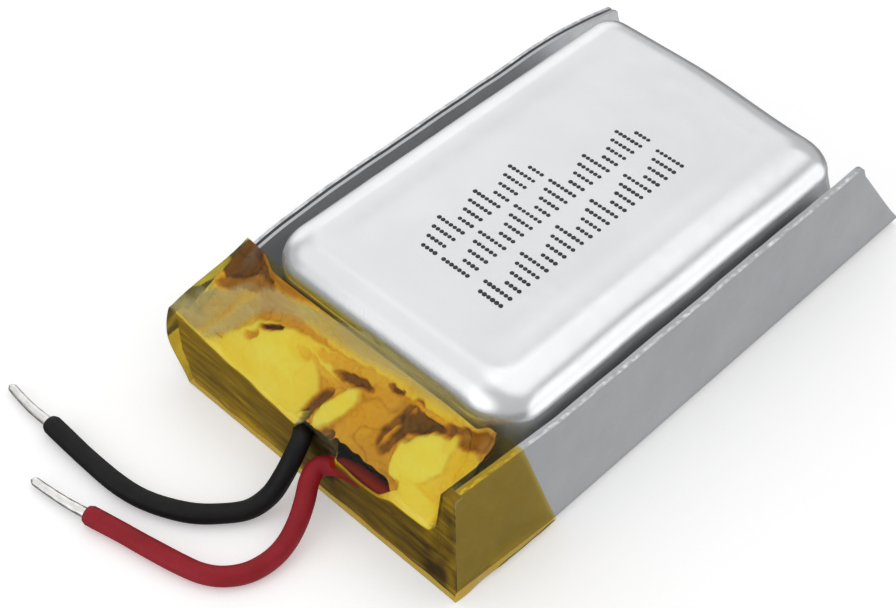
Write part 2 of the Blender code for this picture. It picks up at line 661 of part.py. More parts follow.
def make_header_tape():
    """The wrap over the header: top sheet, front, underside and two ends, open towards the cell."""
    bm = bmesh.new()
    rows = []
    for index, (x, (far_y, far_z), front_z) in enumerate(TAPE_STATIONS):
        top_x = foot_x = front_x = x * MM
        if index in (0, len(TAPE_STATIONS) - 1):
            foot_x = math.copysign(HALF_WIDTH, x)
            loose = LOOSE_CORNER if x < 0 else 0.0
            front_x = foot_x + (top_x - foot_x) * front_z / far_z - loose
        rows.append([bm.verts.new(point) for point in (
            (top_x, far_y * MM, far_z * MM), (front_x, FRONT, front_z * MM),
            (foot_x, FRONT, 0), (foot_x, TAPE_FAR_BOTTOM, 0))])
    for first, second in zip(rows, rows[1:]):
        bridge(bm, first, second, closed=False)
    bm.faces.new(rows[0])
    bm.faces.new(rows[-1][::-1])
    spread_right_side(bm)
    turn_sheet(bm, highest=False)
    tape = sheet_object("header_tape", bm, TAPE, "polyimide")
    slot = box_object("lead_slot", *LEAD_SLOT, "polyimide")
    slot.hide_render = True
    slot.display_type = "WIRE"
    cut = tape.modifiers.new("Lead slot", "BOOLEAN")
    cut.operation = "DIFFERENCE"
    cut.object = slot


def main():
    clear_scene()
    make_back_half()
    make_cup_half()
    make_winding()
    make_tabs()
    make_board()
    make_leads()
    make_board_tape()
    make_header_tape()


main()
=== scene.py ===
"""Small lithium-polymer pouch cell, lying on a pale floor.

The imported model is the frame. Each visible surface of it is made again here in fine detail: the
aluminium laminate pouch, the amber tape over its header, the crumpled tape inside that, and the
two leads. +X runs across the cell, +Y along it to the folded end, +Z up.
"""

import json
import math

import bmesh
import bpy
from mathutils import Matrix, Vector, noise


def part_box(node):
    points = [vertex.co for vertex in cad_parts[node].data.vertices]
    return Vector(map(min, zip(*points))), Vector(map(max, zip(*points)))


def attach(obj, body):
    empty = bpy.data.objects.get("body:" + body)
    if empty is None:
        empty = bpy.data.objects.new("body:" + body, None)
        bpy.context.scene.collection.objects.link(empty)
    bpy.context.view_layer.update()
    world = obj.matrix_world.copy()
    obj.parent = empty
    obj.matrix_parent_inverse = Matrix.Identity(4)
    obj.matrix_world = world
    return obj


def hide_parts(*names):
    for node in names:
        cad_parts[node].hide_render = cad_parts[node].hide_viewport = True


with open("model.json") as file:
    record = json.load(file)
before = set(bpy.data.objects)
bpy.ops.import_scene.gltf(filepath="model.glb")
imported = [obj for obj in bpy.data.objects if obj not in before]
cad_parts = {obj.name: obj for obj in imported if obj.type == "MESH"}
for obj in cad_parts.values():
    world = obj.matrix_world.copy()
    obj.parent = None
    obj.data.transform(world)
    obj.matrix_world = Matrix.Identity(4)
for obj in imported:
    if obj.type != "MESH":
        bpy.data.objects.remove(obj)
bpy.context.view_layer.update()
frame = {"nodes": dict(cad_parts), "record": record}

MM = 0.001

# Camera, at the photograph's viewing angle
AZIMUTH = 44.3
ELEVATION = 47.47
DISTANCE = 64.6 * MM
AIM = Vector((-2.64 * MM, -3.18 * MM, 0.0))
LENS = 70.1

# Places from the frame
CUP_LOW, CUP_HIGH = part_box("pouch_cup_half")
BACK_LOW, BACK_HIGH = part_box("pouch_back_half")
TAPE_LOW, TAPE_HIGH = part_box("header_tape")
TOP = CUP_HIGH.z
RIGHT_SPREAD = 0.28 * MM  # how far the right side stands out once it is past the header tape
SEAL_FACE = BACK_HIGH.x - RIGHT_SPREAD  # outer face of the side seals at their foot
TAPE_FACE = TAPE_HIGH.x - RIGHT_SPREAD
BACK_FACE = BACK_LOW.z
FAR = BACK_HIGH.y
SEAL_NEAR = BACK_LOW.y
TERRACE_NEAR = CUP_LOW.y
FRONT = TAPE_LOW.y

# Pouch, as in the CAD
LAYER = 0.125 * MM  # one laminate layer, half of a side seal
SEAL_BEND = 0.30 * MM
SEAL_FOOT = SEAL_FACE - SEAL_BEND
FOLD_DRAW_IN = 1.60 * MM
DRAW_IN_START = 6.0 * MM
LIP_LEAN = 0.05 * MM
CUP_BASE = (-5.35 * MM, 5.98 * MM, -9.80 * MM, 9.60 * MM)  # low x, high x, near y, far y
CUP_SHOULDER = (-5.07 * MM, 5.85 * MM, -9.60 * MM, 8.10 * MM)
CUP_EDGE_RADIUS = 1.20 * MM
CUP_CORNER_RADIUS = 1.50 * MM
FAR_CORNER_SHARE = 0.60  # radius of the corners at the far end over that of the near ones
CUP_FOOT_RADIUS = 0.18 * MM
CUP_FAR_SKEW = 0.45 * MM
CUP_SKEW_START = (-1.0 * MM, 3.0 * MM)  # x, y
CUP_SKEW_FULL = (5.0 * MM, 7.0 * MM)
RIGHT_SPREAD_SIDES = (4.50 * MM, 6.00 * MM)
RIGHT_CUT = 0.40 * MM
RIGHT_CUT_START = 8.00 * MM
TERRACE_LIFT = 0.30 * MM
TERRACE_LIFT_START = -9.45 * MM
TERRACE_HALF_WIDTH = 5.60 * MM

# Side seals: height at the header, fall to the far end, lean of the top, how far the ends are pressed
# down, cut of the far end, and the rounding of its top corner.
SEALS = {
    1: {"height": 5.14 * MM, "fall": 0.08 * MM, "lean": 0.17 * MM, "near_press": 0.0,
        "far_press": 0.0, "far_cut": 3.45 * MM, "corner": 0.55 * MM},
    -1: {"height": 5.03 * MM, "fall": 0.0, "lean": 0.05 * MM, "near_press": 1.55 * MM,
         "far_press": 0.69 * MM, "far_cut": 2.15 * MM, "corner": 0.30 * MM},
}
NEAR_PRESS_START = -4.0 * MM
FAR_PRESS_START = 5.0 * MM
RIM_WAVE = 0.03 * MM  # unevenness of a seal's cut top edge
FACE_WAVE = {1: 0.02 * MM, -1: 0.05 * MM}  # and of its face

# Leads, as in the CAD: centre lines from the solder joint to the end of the insulation, in mm.
LEAD_DIAMETER = 0.70 * MM
CONDUCTOR_DIAMETER = 0.34 * MM
STRANDS = 7
BLACK_ROUTE = [
    (-1.15, -11.36, 1.62), (-1.05, -11.62, 1.80), (-0.80, -11.95, 2.05), (-0.50, -12.30, 2.16),
    (-0.35, -12.78, 1.90), (-0.32, -13.32, 1.32), (-0.36, -13.95, 0.78), (-0.62, -14.68, 0.46),
    (-1.22, -15.42, 0.37), (-2.02, -16.13, 0.36), (-3.25, -16.74, 0.36), (-4.47, -17.01, 0.36),
    (-6.14, -17.07, 0.36), (-8.35, -17.02, 0.36),
]
RED_ROUTE = [
    (5.05, -11.46, 1.60), (4.85, -11.62, 1.74), (4.25, -11.80, 1.92), (3.20, -11.86, 1.95),
    (2.30, -11.86, 1.90), (1.45, -11.90, 1.78), (0.75, -12.08, 1.66), (0.42, -12.50, 1.62),
    (0.56, -12.98, 1.48), (0.88, -13.50, 1.20), (1.16, -14.10, 0.88), (1.34, -14.78, 0.58),
    (1.37, -15.50, 0.42), (1.19, -16.28, 0.36), (0.77, -16.92, 0.36), (0.18, -17.35, 0.36),
    (-0.60, -17.62, 0.36), (-1.83, -17.92, 0.36), (-3.02, -18.18, 0.36), (-4.36, -18.50, 0.36),
]
BLACK_TIP = [(-8.20, -17.02, 0.36), (-9.30, -17.05, 0.30), (-10.10, -17.00, 0.27), (-10.80, -16.93, 0.26)]
RED_TIP = [(-4.20, -18.46, 0.36), (-5.20, -18.66, 0.30), (-6.10, -18.79, 0.27), (-6.90, -18.88, 0.26)]

# Outer tape stations across the header, in mm: x, far edge (y, z), height of the front top edge.
TAPE_STATIONS = [
    (-6.58, -9.00, 4.95, 3.52), (-6.20, -9.05, 4.97, 3.50), (-5.88, -9.15, 5.10, 3.36),
    (-5.10, -9.50, 5.62, 3.20), (-4.20, -9.63, 5.72, 3.08), (-1.60, -9.63, 5.72, 2.72),
    (-0.95, -9.63, 5.72, 2.62), (0.95, -9.63, 5.72, 2.52), (3.60, -9.63, 5.72, 2.60),
    (5.30, -9.63, 5.60, 2.76), (5.72, -9.55, 5.42, 3.30), (5.94, -9.40, 5.28, 5.22),
    (6.43, -9.35, 5.25, 5.24),
]
TAPE_FAR_BOTTOM = -7.70 * MM
STUCK = 0.10  # share of the top sheet that follows the cup's rounded edge
SLOT = (-0.80, 0.82)  # x of the slot where the leads come out, in mm
SLOT_ROWS = (2, 6)  # rows of the top sheet and of the front that the slot takes
DOUBLED_FROM = 5.7  # x from where the top sheet lies over the folded end, in mm
SHEET_NORMAL = Vector((0, -0.72, 0.69))

# How far the wrap's ends stand out from the seals, in mm
LOOSE_CORNER = 0.50  # the top front corner on the left
LEFT_BULGE = 0.40
RIGHT_BULGE = 0.10  # low down
RIGHT_TUCK = 0.20  # how far the right end's foot goes in under the seal's bend

# Under the wrap, in mm
INNER_TAPE_SIDES = (-6.50, 5.66)
LEAST_GAP = 0.05  # between the wrap and the inner tape
CREASE_DEPTH = 0.42  # how much deeper the inner tape's deepest creases lie
APRON_SIDES = (-6.40, 6.50)
APRON_GAP = 0.10  # between the wrap's front and the layers behind it
HOLE_DEPTH = 0.34  # how far those layers give way at the leads
LIP_RISE = 0.30
LIP_DEPTH = 0.32
LIP_END = 5.60  # x of the lip's right end

# The painted reflection on the wrap, a pale veil standing in for a soft light's reflection on its top sheet:
# x, near edge y, far edge y, strength, in mm.
PAINTED_REFLECTION_STATIONS = [
    (-6.90, -12.60, -11.60, 0.60), (-6.30, -12.60, -10.95, 0.66), (-5.40, -12.40, -10.50, 0.60),
    (-4.60, -11.70, -10.20, 0.62), (-3.90, -10.80, -10.02, 0.66), (-3.00, -10.50, -9.88, 0.62),
    (-1.90, -10.35, -9.74, 0.60), (0.00, -10.22, -9.58, 0.66), (1.50, -10.06, -9.58, 0.64),
    (3.50, -9.98, -9.58, 0.60), (4.80, -9.86, -9.58, 0.36), (6.40, -9.70, -9.60, 0.0),
]

# Patches of the inner tape, each over those before it. In plan, in mm: centre x, y, half sizes, turn in
# degrees. Then how close it lies under the wrap, from 0, deep in a crease, to 1, stuck to the wrap; this also
# sets its painted shade.
PATCHES = [
    (-5.40, -11.30, 1.30, 1.10, 0, 0.66),  # the left end
    (-5.72, -9.78, 1.32, 0.72, -8, 0.17),
    (-5.30, -10.40, 1.10, 0.22, 14, 0.30),
    (-3.85, -9.74, 1.20, 0.24, -6, 0.42),
    (0.80, -9.95, 4.20, 0.32, 2, 0.74),  # the far edge, along the cup
    (-2.65, -11.42, 1.72, 0.82, 10, 0.94),  # the large patch on the left
    (-4.00, -11.90, 0.85, 0.42, 0, 0.86),
    (-2.10, -11.95, 1.30, 0.32, 0, 0.88),
    (-1.30, -10.72, 1.25, 0.30, 5, 0.84),
    (-1.15, -10.92, 0.95, 0.11, -5, 0.60),
    (-1.15, -11.45, 0.62, 0.42, -35, 0.84),
    (-3.42, -10.92, 0.46, 0.09, 26, 0.06),
    (-3.95, -11.36, 0.22, 0.10, 30, 0.50),
    (0.10, -10.42, 1.60, 0.16, 8, 0.58),
    (-0.62, -11.68, 0.62, 0.15, 62, 0.16),
    (0.28, -10.66, 0.80, 0.11, 6, 0.16),
    (0.22, -12.06, 0.62, 0.13, 12, 0.22),
    (1.25, -11.22, 1.12, 0.42, 56, 0.54),
    (0.20, -11.40, 0.82, 0.30, 50, 0.96),
    (2.35, -11.68, 0.80, 0.30, 20, 0.48),
    (2.55, -10.85, 0.85, 0.34, 62, 0.20),
    (2.42, -10.95, 0.62, 0.07, 66, 0.54),
    (1.78, -10.22, 0.34, 0.07, 6, 0.14),
    (3.45, -10.48, 1.05, 0.24, 12, 0.12),
    (3.30, -10.20, 1.10, 0.08, 4, 0.56),
    (5.00, -10.10, 1.10, 0.26, 12, 0.28),
    (5.10, -11.20, 1.00, 0.90, 0, 0.70),
    (3.78, -11.15, 1.00, 0.58, 30, 0.97),  # the round patch on the right
    (4.52, -10.42, 0.17, 0.26, -12, 0.86),
    (4.40, -11.92, 0.95, 0.26, -6, 0.88),
    (2.90, -11.98, 0.55, 0.10, 8, 0.40),
]

# Print on the cup's top, a plain code of dotted bars: each row's x, the y of its first bar, and its bars.
PRINT_ROWS = [(-0.93 * MM, -6.10 * MM, 13), (0.55 * MM, -6.10 * MM, 22), (2.22 * MM, -6.30 * MM, 22)]
BAR_PITCH = 0.435 * MM
DOT_PITCH = 0.18 * MM
DOT = 0.082 * MM
INK_ABOVE = 0.008 * MM  # height of the ink's upper side over the laminate
INK_THICKNESS = 0.006 * MM


# Shape helpers


def smoothstep(value):
    value = min(1.0, max(0.0, value))
    return value * value * (3 - 2 * value)


def fade(value, start, end):
    """0 up to the start, 1 past the end and smooth between; the start may be the higher."""
    return smoothstep((value - start) / (end - start))


def mix(first, second, share):
    return first + (second - first) * share


def catmull_rom(points, spacing):
    """Points about this far apart on a smooth curve through the given ones."""
    route = [Vector(point) for point in points]
    padded = [2 * route[0] - route[1], *route, 2 * route[-1] - route[-2]]
    smooth = [route[0]]
    for a, b, c, d in zip(padded, padded[1:], padded[2:], padded[3:]):
        steps = max(1, round((c - b).length / spacing))
        for step in range(1, steps + 1):
            t = step / steps
            smooth.append(0.5 * ((2 * b) + (c - a) * t + (2 * a - 5 * b + 4 * c - d) * t * t
                                 + (3 * b - a - 3 * c + d) * t ** 3))
    return smooth


def between(stations, x):
    """The values at this x, between the stations on either side."""
    for first, second in zip(stations, stations[1:]):
        if x <= second[0]:
            share = max(0.0, (x - first[0]) / (second[0] - first[0]))
            return [mix(a, b, share) for a, b in zip(first, second)]
    return list(stations[-1])


def bridge(bm, first, second, closed=False):
    """Quads between two rows of the same number of vertices."""
    count = len(first)
    for i in range(count if closed else count - 1):
        j = (i + 1) % count
        bm.faces.new((first[i], first[j], second[j], second[i]))


def bridge_all(bm, rows, closed=False):
    for first, second in zip(rows, rows[1:]):
        bridge(bm, first, second, closed)


def ripple(point, size, seed):
    """Smooth noise from -1 to 1, with bumps about this far apart."""
    return noise.noise(point / size + Vector((seed, seed * 1.7, seed * 2.3)))


SHARP_ANGLE = 35  # edges that turn by more degrees than this are shown sharp


def finish_mesh(name, bm, material, replaced, smooth_angle=SHARP_ANGLE):
    """Makes the piece, puts it on the cell and hides the CAD nodes it stands for."""
    mesh = bpy.data.meshes.new(name)
    bm.to_mesh(mesh)
    bm.free()
    mesh.shade_smooth()
    if smooth_angle:
        mesh.set_sharp_from_angle(angle=math.radians(smooth_angle))
    obj = bpy.data.objects.new(name, mesh)
    obj.data.materials.append(material)
    bpy.context.scene.collection.objects.link(obj)
    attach(obj, "root")
    if replaced:
        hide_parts(*replaced)
    return obj


def turn_sheet(bm, highest):
    """Turns the sheet so that its highest face, or its lowest, shows its outer side."""
    bmesh.ops.recalc_face_normals(bm, faces=bm.faces)
    pick = max if highest else min
    outermost = pick(bm.faces, key=lambda face: face.calc_center_median().z)
    if (outermost.normal.z > 0) != highest:
        bmesh.ops.reverse_faces(bm, faces=bm.faces)


def thicken(obj, thickness, edge_material):
    """Gives a sheet its thickness behind the drawn side, with its own material on the cut edge."""
    obj.data.materials.append(edge_material)
    solidify = obj.modifiers.new("Thickness", "SOLIDIFY")
    solidify.thickness = thickness
    solidify.offset = -1
    solidify.material_offset_rim = 1
    made = obj.evaluated_get(bpy.context.evaluated_depsgraph_get())
    mesh = bpy.data.meshes.new_from_object(made)
    obj.modifiers.clear()
    obj.data = mesh
    mesh.set_sharp_from_angle(angle=math.radians(SHARP_ANGLE))


def set_attribute(obj, name, values):
    """Stores one number for each vertex, for the piece's material."""
    attribute = obj.data.attributes.new(name, "FLOAT", "POINT")
    attribute.data.foreach_set("value", values)


# Material helpers


class Nodes:
    """A material's or world's node tree, with short calls to fill it."""

    def __init__(self, owner):
        owner.use_nodes = True
        self.tree = owner.node_tree
        self.tree.nodes.clear()

    def add(self, kind, settings=None, **inputs):
        """Adds a node. Underscores in an input's name stand for spaces, and a socket is linked."""
        made = self.tree.nodes.new("ShaderNode" + kind)
        for key, value in (settings or {}).items():
            setattr(made, key, value)
        for key, value in inputs.items():
            self.feed(made.inputs[key.replace("_", " ")], value)
        return made

    def feed(self, target, value):
        if isinstance(value, bpy.types.NodeSocket):
            self.tree.links.new(value, target)
        else:
            target.default_value = value

    def math(self, operation, *values):
        made = self.add("Math", {"operation": operation})
        for index, value in enumerate(values):
            self.feed(made.inputs[index], value)
        return made.outputs[0]

    def place(self, stretch=(1, 1, 1)):
        """Position on the piece in millimetres, each axis divided by its stretch."""
        coordinates = self.add("TexCoord").outputs["Object"]
        scale = tuple(1 / (MM * s) for s in stretch)
        return self.add("Mapping", Vector=coordinates, Scale=scale).outputs[0]

    def noise(self, size, detail=3.0, stretch=(1, 1, 1), distortion=0.0, roughness=0.5):
        """Noise with features about this many millimetres across."""
        made = self.add("TexNoise", Vector=self.place(stretch), Scale=1 / size, Detail=detail,
                        Distortion=distortion, Roughness=roughness)
        return made.outputs["Fac"]

    def ramp(self, value, stops, interpolation="LINEAR"):
        """A colour ramp of (position, colour) stops; a grey may be one number."""
        made = self.add("ValToRGB", Fac=value)
        made.color_ramp.interpolation = interpolation
        elements = made.color_ramp.elements
        while len(elements) < len(stops):
            elements.new(0.5)
        for element, (position, colour) in zip(elements, stops):
            element.position = position
            element.color = (*colour, 1) if isinstance(colour, tuple) else (colour, colour, colour, 1)
        return made.outputs[0]

    def bump(self, height, distance, strength=1.0, onto=None):
        """Bump whose full height is this many millimetres."""
        made = self.add("Bump", Height=height, Strength=strength, Distance=distance * MM)
        if onto:
            self.feed(made.inputs["Normal"], onto)
        return made.outputs[0]

    def mixed(self, share, first, second):
        """A shader that goes from the first to the second."""
        made = self.add("MixShader", Fac=share)
        self.feed(made.inputs[1], first.outputs[0])
        self.feed(made.inputs[2], second.outputs[0])
        return made

    def output(self, shader):
        self.add("OutputMaterial", Surface=shader)


def material(name):
    made = bpy.data.materials.new(name)
    return made, Nodes(made)


def laminate_material(name, light, dark, roughness, metallic, grain):
    """Nylon-faced aluminium laminate: satin metal with faint clouds and a fine embossed grain."""
    made, nodes = material(name)
    clouds = nodes.noise(2.6, 4.0)
    colour = nodes.ramp(clouds, [(0.35, dark), (0.65, light)])
    rough = nodes.ramp(nodes.noise(0.5, 5.0), [(0.3, roughness - 0.04), (0.7, roughness + 0.05)])
    emboss = nodes.bump(nodes.noise(0.07, 2.0), grain)
    soft = nodes.bump(nodes.noise(1.5, 2.0), grain * 2, onto=emboss)
    shader = nodes.add("BsdfPrincipled", Base_Color=colour, Roughness=rough, Metallic=metallic, Normal=soft)
    nodes.output(shader.outputs[0])
    return made


def cut_edge_material():
    """The cut edge of the laminate: bright aluminium between dull film, with burrs."""
    made, nodes = material("laminate_cut_edge")
    burrs = nodes.noise(0.16, 3.0, stretch=(1, 1.6, 1))
    colour = nodes.ramp(burrs, [
        (0.38, (0.55, 0.56, 0.57)), (0.55, (0.72, 0.73, 0.74)), (0.70, (0.95, 0.95, 0.95)),
    ])
    rough = nodes.ramp(burrs, [(0.4, 0.55), (0.7, 0.30)])
    shader = nodes.add("BsdfPrincipled", Base_Color=colour, Roughness=rough, Metallic=0.85,
                       Normal=nodes.bump(burrs, 0.04))
    nodes.output(shader.outputs[0])
    return made


def amber_film_material(name, pale, deep, reflection_colour):
    """Clear amber polyimide film: tinted see-through and glossy, with a painted reflection, a pale diffuse
    veil where the painted_reflection attribute is set.
    """
    made, nodes = material(name)
    streaks = nodes.noise(0.5, 4.0, stretch=(4.0, 1, 1), distortion=0.6)
    clear = nodes.add("BsdfTransparent", Color=nodes.ramp(streaks, [(0.3, deep), (0.7, pale)]))
    painted_reflection = nodes.add("Attribute", {"attribute_name": "painted_reflection"}).outputs["Fac"]
    wisps = nodes.ramp(nodes.noise(0.55, 4.0, stretch=(3.0, 1, 1), distortion=0.8), [(0.3, 0.62), (0.7, 1.0)])
    reflection = nodes.add("BsdfDiffuse", Color=nodes.ramp(streaks, reflection_colour))
    # Painted reflection: the pale diffuse veil comes in where the painted_reflection attribute is set.
    body = nodes.mixed(nodes.math("MULTIPLY", painted_reflection, wisps), clear, reflection)
    waves = nodes.bump(nodes.noise(0.9, 2.0, stretch=(2.0, 1, 1)), 0.012)
    rough = nodes.ramp(nodes.noise(0.4, 4.0), [(0.3, 0.10), (0.7, 0.22)])
    gloss = nodes.add("BsdfGlossy", Color=(0.8, 0.8, 0.8, 1), Roughness=rough, Normal=waves)
    fresnel = nodes.add("Fresnel", IOR=1.28, Normal=waves)
    nodes.output(nodes.mixed(fresnel.outputs[0], body, gloss).outputs[0])
    return made


def crumpled_tape_material():
    """The inner tape: bright yellow where it is stuck to the wrap, with painted shade in its creases, amber
    to near black, from the tone attribute.
    """
    made, nodes = material("crumpled_tape")
    tone = nodes.add("Attribute", {"attribute_name": "tone"}).outputs["Fac"]
    mottle = nodes.noise(0.55, 5.0, distortion=0.8)
    shifted = nodes.math("ADD", tone, nodes.math("MULTIPLY", nodes.math("SUBTRACT", mottle, 0.5), 0.16))
    # Painted shade: the lower the tone, the deeper in a crease and the darker the colour.
    colour = nodes.ramp(shifted, [
        (0.00, (0.030, 0.010, 0.004)), (0.18, (0.20, 0.070, 0.025)), (0.36, (0.56, 0.26, 0.06)),
        (0.54, (0.84, 0.48, 0.10)), (0.74, (1.0, 0.82, 0.22)), (0.97, (1.0, 0.98, 0.46)),
    ])
    wrinkles = nodes.bump(nodes.noise(0.30, 4.0, distortion=1.2), 0.035)
    shader = nodes.add("BsdfPrincipled", Base_Color=colour, Roughness=0.42, Normal=wrinkles)
    nodes.output(shader.outputs[0])
    return made


def apron_material():
    """The layers behind the wrap's front: olive with long dark streaks, a pale folded lip on top, and painted
    shade carried by the tone attribute.
    """
    made, nodes = material("header_front_layers")
    tone = nodes.add("Attribute", {"attribute_name": "tone"}).outputs["Fac"]
    streaks = nodes.noise(0.26, 4.0, stretch=(8.0, 1, 1), distortion=0.4)
    shifted = nodes.math("ADD", tone, nodes.math("MULTIPLY", nodes.math("SUBTRACT", streaks, 0.5), 0.9))
    colour = nodes.ramp(shifted, [
        (0.05, (0.05, 0.035, 0.015)), (0.32, (0.20, 0.18, 0.08)), (0.58, (0.42, 0.38, 0.17)),
        (0.85, (0.95, 0.84, 0.36)), (1.0, (1.0, 0.96, 0.60)),
    ])
    shader = nodes.add("BsdfPrincipled", Base_Color=colour, Roughness=0.42, Normal=nodes.bump(streaks, 0.04))
    nodes.output(shader.outputs[0])
    return made


def ink_material():
    """Black jet-printed ink: matt, a little thin in places."""
    made, nodes = material("printing_ink")
    thin = nodes.noise(0.10, 3.0)
    colour = nodes.ramp(thin, [(0.3, (0.010, 0.010, 0.011)), (0.7, (0.045, 0.045, 0.048))])
    shader = nodes.add("BsdfPrincipled", Base_Color=colour, Roughness=0.55, Normal=nodes.bump(thin, 0.004))
    nodes.output(shader.outputs[0])
    return made


def insulation_material(name, light, dark):
    """Soft extruded insulation: slightly uneven colour and a faint skin."""
    made, nodes = material(name)
    colour = nodes.ramp(nodes.noise(0.9, 4.0), [(0.3, dark), (0.7, light)])
    rough = nodes.ramp(nodes.noise(0.3, 4.0), [(0.3, 0.48), (0.7, 0.60)])
    skin = nodes.bump(nodes.noise(0.12, 3.0), 0.008)
    shader = nodes.add("BsdfPrincipled", Base_Color=colour, Roughness=rough, Normal=skin)
    shader.inputs["Specular IOR Level"].default_value = 0.25
    nodes.output(shader.outputs[0])
    return made


def worked_material(name, light, dark, roughness, metallic, size, height, stretch=(1, 1, 1)):
    """A plain surface with its own grain: two tones, uneven gloss and a bump of this size."""
    made, nodes = material(name)
    grain = nodes.noise(size, 4.0, stretch=stretch)
    colour = nodes.ramp(grain, [(0.35, dark), (0.65, light)])
    rough = nodes.ramp(nodes.noise(size * 3, 3.0), [(0.3, roughness - 0.08), (0.7, roughness + 0.08)])
    shader = nodes.add("BsdfPrincipled", Base_Color=colour, Roughness=rough, Metallic=metallic,
                       Normal=nodes.bump(grain, height))
    nodes.output(shader.outputs[0])
    return made


# Pouch


def fold_edge(x):
    """Y of the folded edge at the far end: level with the seals at the sides, drawn in between."""
    share = abs(x) / SEAL_FOOT
    return FAR - FOLD_DRAW_IN * (1 - share ** 3)


def terrace_lift(x, y):
    """How far the cup half stands off the back half at the terrace, where the tabs pass."""
    along = fade(y, TERRACE_LIFT_START, TERRACE_LIFT_START - TERRACE_LIFT)
    across = fade(abs(x), TERRACE_HALF_WIDTH, TERRACE_HALF_WIDTH - 2 * TERRACE_LIFT)
    return TERRACE_LIFT * along * across


def skew_far_edge(point):
    """Draws the cup's far edge nearer towards its right side, fully at the top and not at its foot."""
    up = smoothstep(point.z / (TOP - CUP_EDGE_RADIUS))
    right, far = (fade(*values) for values in zip(point, CUP_SKEW_START, CUP_SKEW_FULL))
    return point - Vector((0, CUP_FAR_SKEW * up * right * far, 0))


def spread_right_side(bm):
    """Moves the right side outwards, more and more over the header, and draws its far end in."""
    for vert in bm.verts:
        x, y, z = vert.co
        beside = fade(x, *RIGHT_SPREAD_SIDES)
        along = min(1.0, (y - FRONT) / (TAPE_FAR_BOTTOM - FRONT))
        far = fade(y, RIGHT_CUT_START, FAR)
        vert.co = (x + RIGHT_SPREAD * beside * along, y - RIGHT_CUT * beside * far, z)


SIDE_STEPS = 96
SEAL_ROWS = 22
BEND_SHARE = 0.09  # share of a seal's strip that is its bend


def seal_top(side, y):
    """Height of a side seal's top edge at this place along the cell."""
    seal = SEALS[side]
    top_far = FAR - seal["far_cut"]
    along = (y - SEAL_NEAR) / (top_far - SEAL_NEAR)
    near = max(0.0, (NEAR_PRESS_START - y) / (NEAR_PRESS_START - SEAL_NEAR))
    far = max(0.0, (y - FAR_PRESS_START) / (top_far - FAR_PRESS_START))
    pressed = seal["near_press"] * near ** 3 + seal["far_press"] * min(1.0, far) ** 2
    past_corner = min(1.0, max(0.0, (y - top_far + seal["corner"]) / seal["corner"]))
    rounding = seal["corner"] * (1 - math.sqrt(1 - past_corner ** 2))
    waviness = RIM_WAVE * ripple(Vector((0, y, 0)), 1.1 * MM, side + 3)
    return seal["height"] - seal["fall"] * along - pressed - rounding + waviness


def seal_point(side, along, up, depth):
    """A point on a side seal: along and up run from 0 to 1, and depth is how far inside its outer face."""
    seal = SEALS[side]
    radius = SEAL_BEND - depth
    wall_foot = BACK_FACE + SEAL_BEND
    share = max(0.0, (up - BEND_SHARE) / (1 - BEND_SHARE))
    y = SEAL_NEAR + along * (FAR - seal["far_cut"] * share - SEAL_NEAR)
    if up < BEND_SHARE:
        angle = math.pi / 2 * up / BEND_SHARE
        out = radius * math.sin(angle)
        z = wall_foot - radius * math.cos(angle)
    else:
        out = radius
        z = mix(wall_foot, seal_top(side, y), share)
    wave = FACE_WAVE[side] * share * ripple(Vector((0, y, z)), 4.0 * MM, side + 7)
    x = SEAL_FOOT + out - seal["lean"] * share - wave
    return Vector((side * x, y, z))


def raise_seal(bm, foot, side, depth):
    """A side seal on the edge that these vertices, ordered from near to far, make."""
    columns = []
    for base in foot:
        along = (base.co.y - SEAL_NEAR) / (FAR - SEAL_NEAR)
        rises = [seal_point(side, along, row / SEAL_ROWS, depth) for row in range(1, SEAL_ROWS + 1)]
        columns.append([base] + [bm.verts.new(point) for point in rises])
    bridge_all(bm, columns)


def make_back_skin(laminate, edge):
    """The flat half: the back, and the outer layer of both side seals."""
    bm = bmesh.new()
    columns = 24
    rows = []
    for step in range(SIDE_STEPS + 1):
        y = mix(SEAL_NEAR, FAR, step / SIDE_STEPS)
        row = []
        for column in range(columns + 1):
            x = mix(-SEAL_FOOT, SEAL_FOOT, column / columns)
            drawn_in = (FAR - fold_edge(x)) * fade(y, DRAW_IN_START, FAR)
            row.append(bm.verts.new((x, y - drawn_in, BACK_FACE)))
        rows.append(row)
    bridge_all(bm, rows)
    lip = [bm.verts.new(vert.co + Vector((0, LIP_LEAN, LAYER))) for vert in rows[-1][1:-1]]
    bridge(bm, rows[-1][1:-1], lip)
    for side in (-1, 1):
        raise_seal(bm, [row[0 if side < 0 else -1] for row in rows], side, 0.0)
    spread_right_side(bm)
    turn_sheet(bm, highest=False)
    skin = finish_mesh("pouch_back_skin", bm, laminate, ["pouch_back_half"])
    thicken(skin, LAYER, edge)


def on_circle(x, y, radius, degrees):
    angle = math.radians(degrees)
    return Vector((x + radius * math.cos(angle), y + radius * math.sin(angle), 0))


def rounded_rectangle(sides, radius):
    """Plan points of a rounded rectangle, anticlockwise from above, always the same number."""
    low_x, high_x, near_y, far_y = sides
    radius = min(radius, 0.45 * (high_x - low_x))  # corners stay clear of each other
    corner_steps, short_steps = 10, 26
    far_radius = radius * FAR_CORNER_SHARE
    corners = [  # centre, radius, the angle where it starts
        (high_x - radius, near_y + radius, radius, -90),
        (high_x - far_radius, far_y - far_radius, far_radius, 0),
        (low_x + far_radius, far_y - far_radius, far_radius, 90),
        (low_x + radius, near_y + radius, radius, 180),
    ]
    points = []
    for index, (x, y, corner_radius, start) in enumerate(corners):
        for step in range(corner_steps + 1):
            points.append(on_circle(x, y, corner_radius, start + 90 * step / corner_steps))
        last = points[-1]
        goal = on_circle(*corners[(index + 1) % 4])
        straight_steps = SIDE_STEPS if index % 2 == 0 else short_steps
        points.extend(last.lerp(goal, step / straight_steps) for step in range(1, straight_steps))
    return points


def inset(sides, distance):
    x0, x1, y0, y1 = sides
    return (x0 + distance, x1 - distance, y0 + distance, y1 - distance)


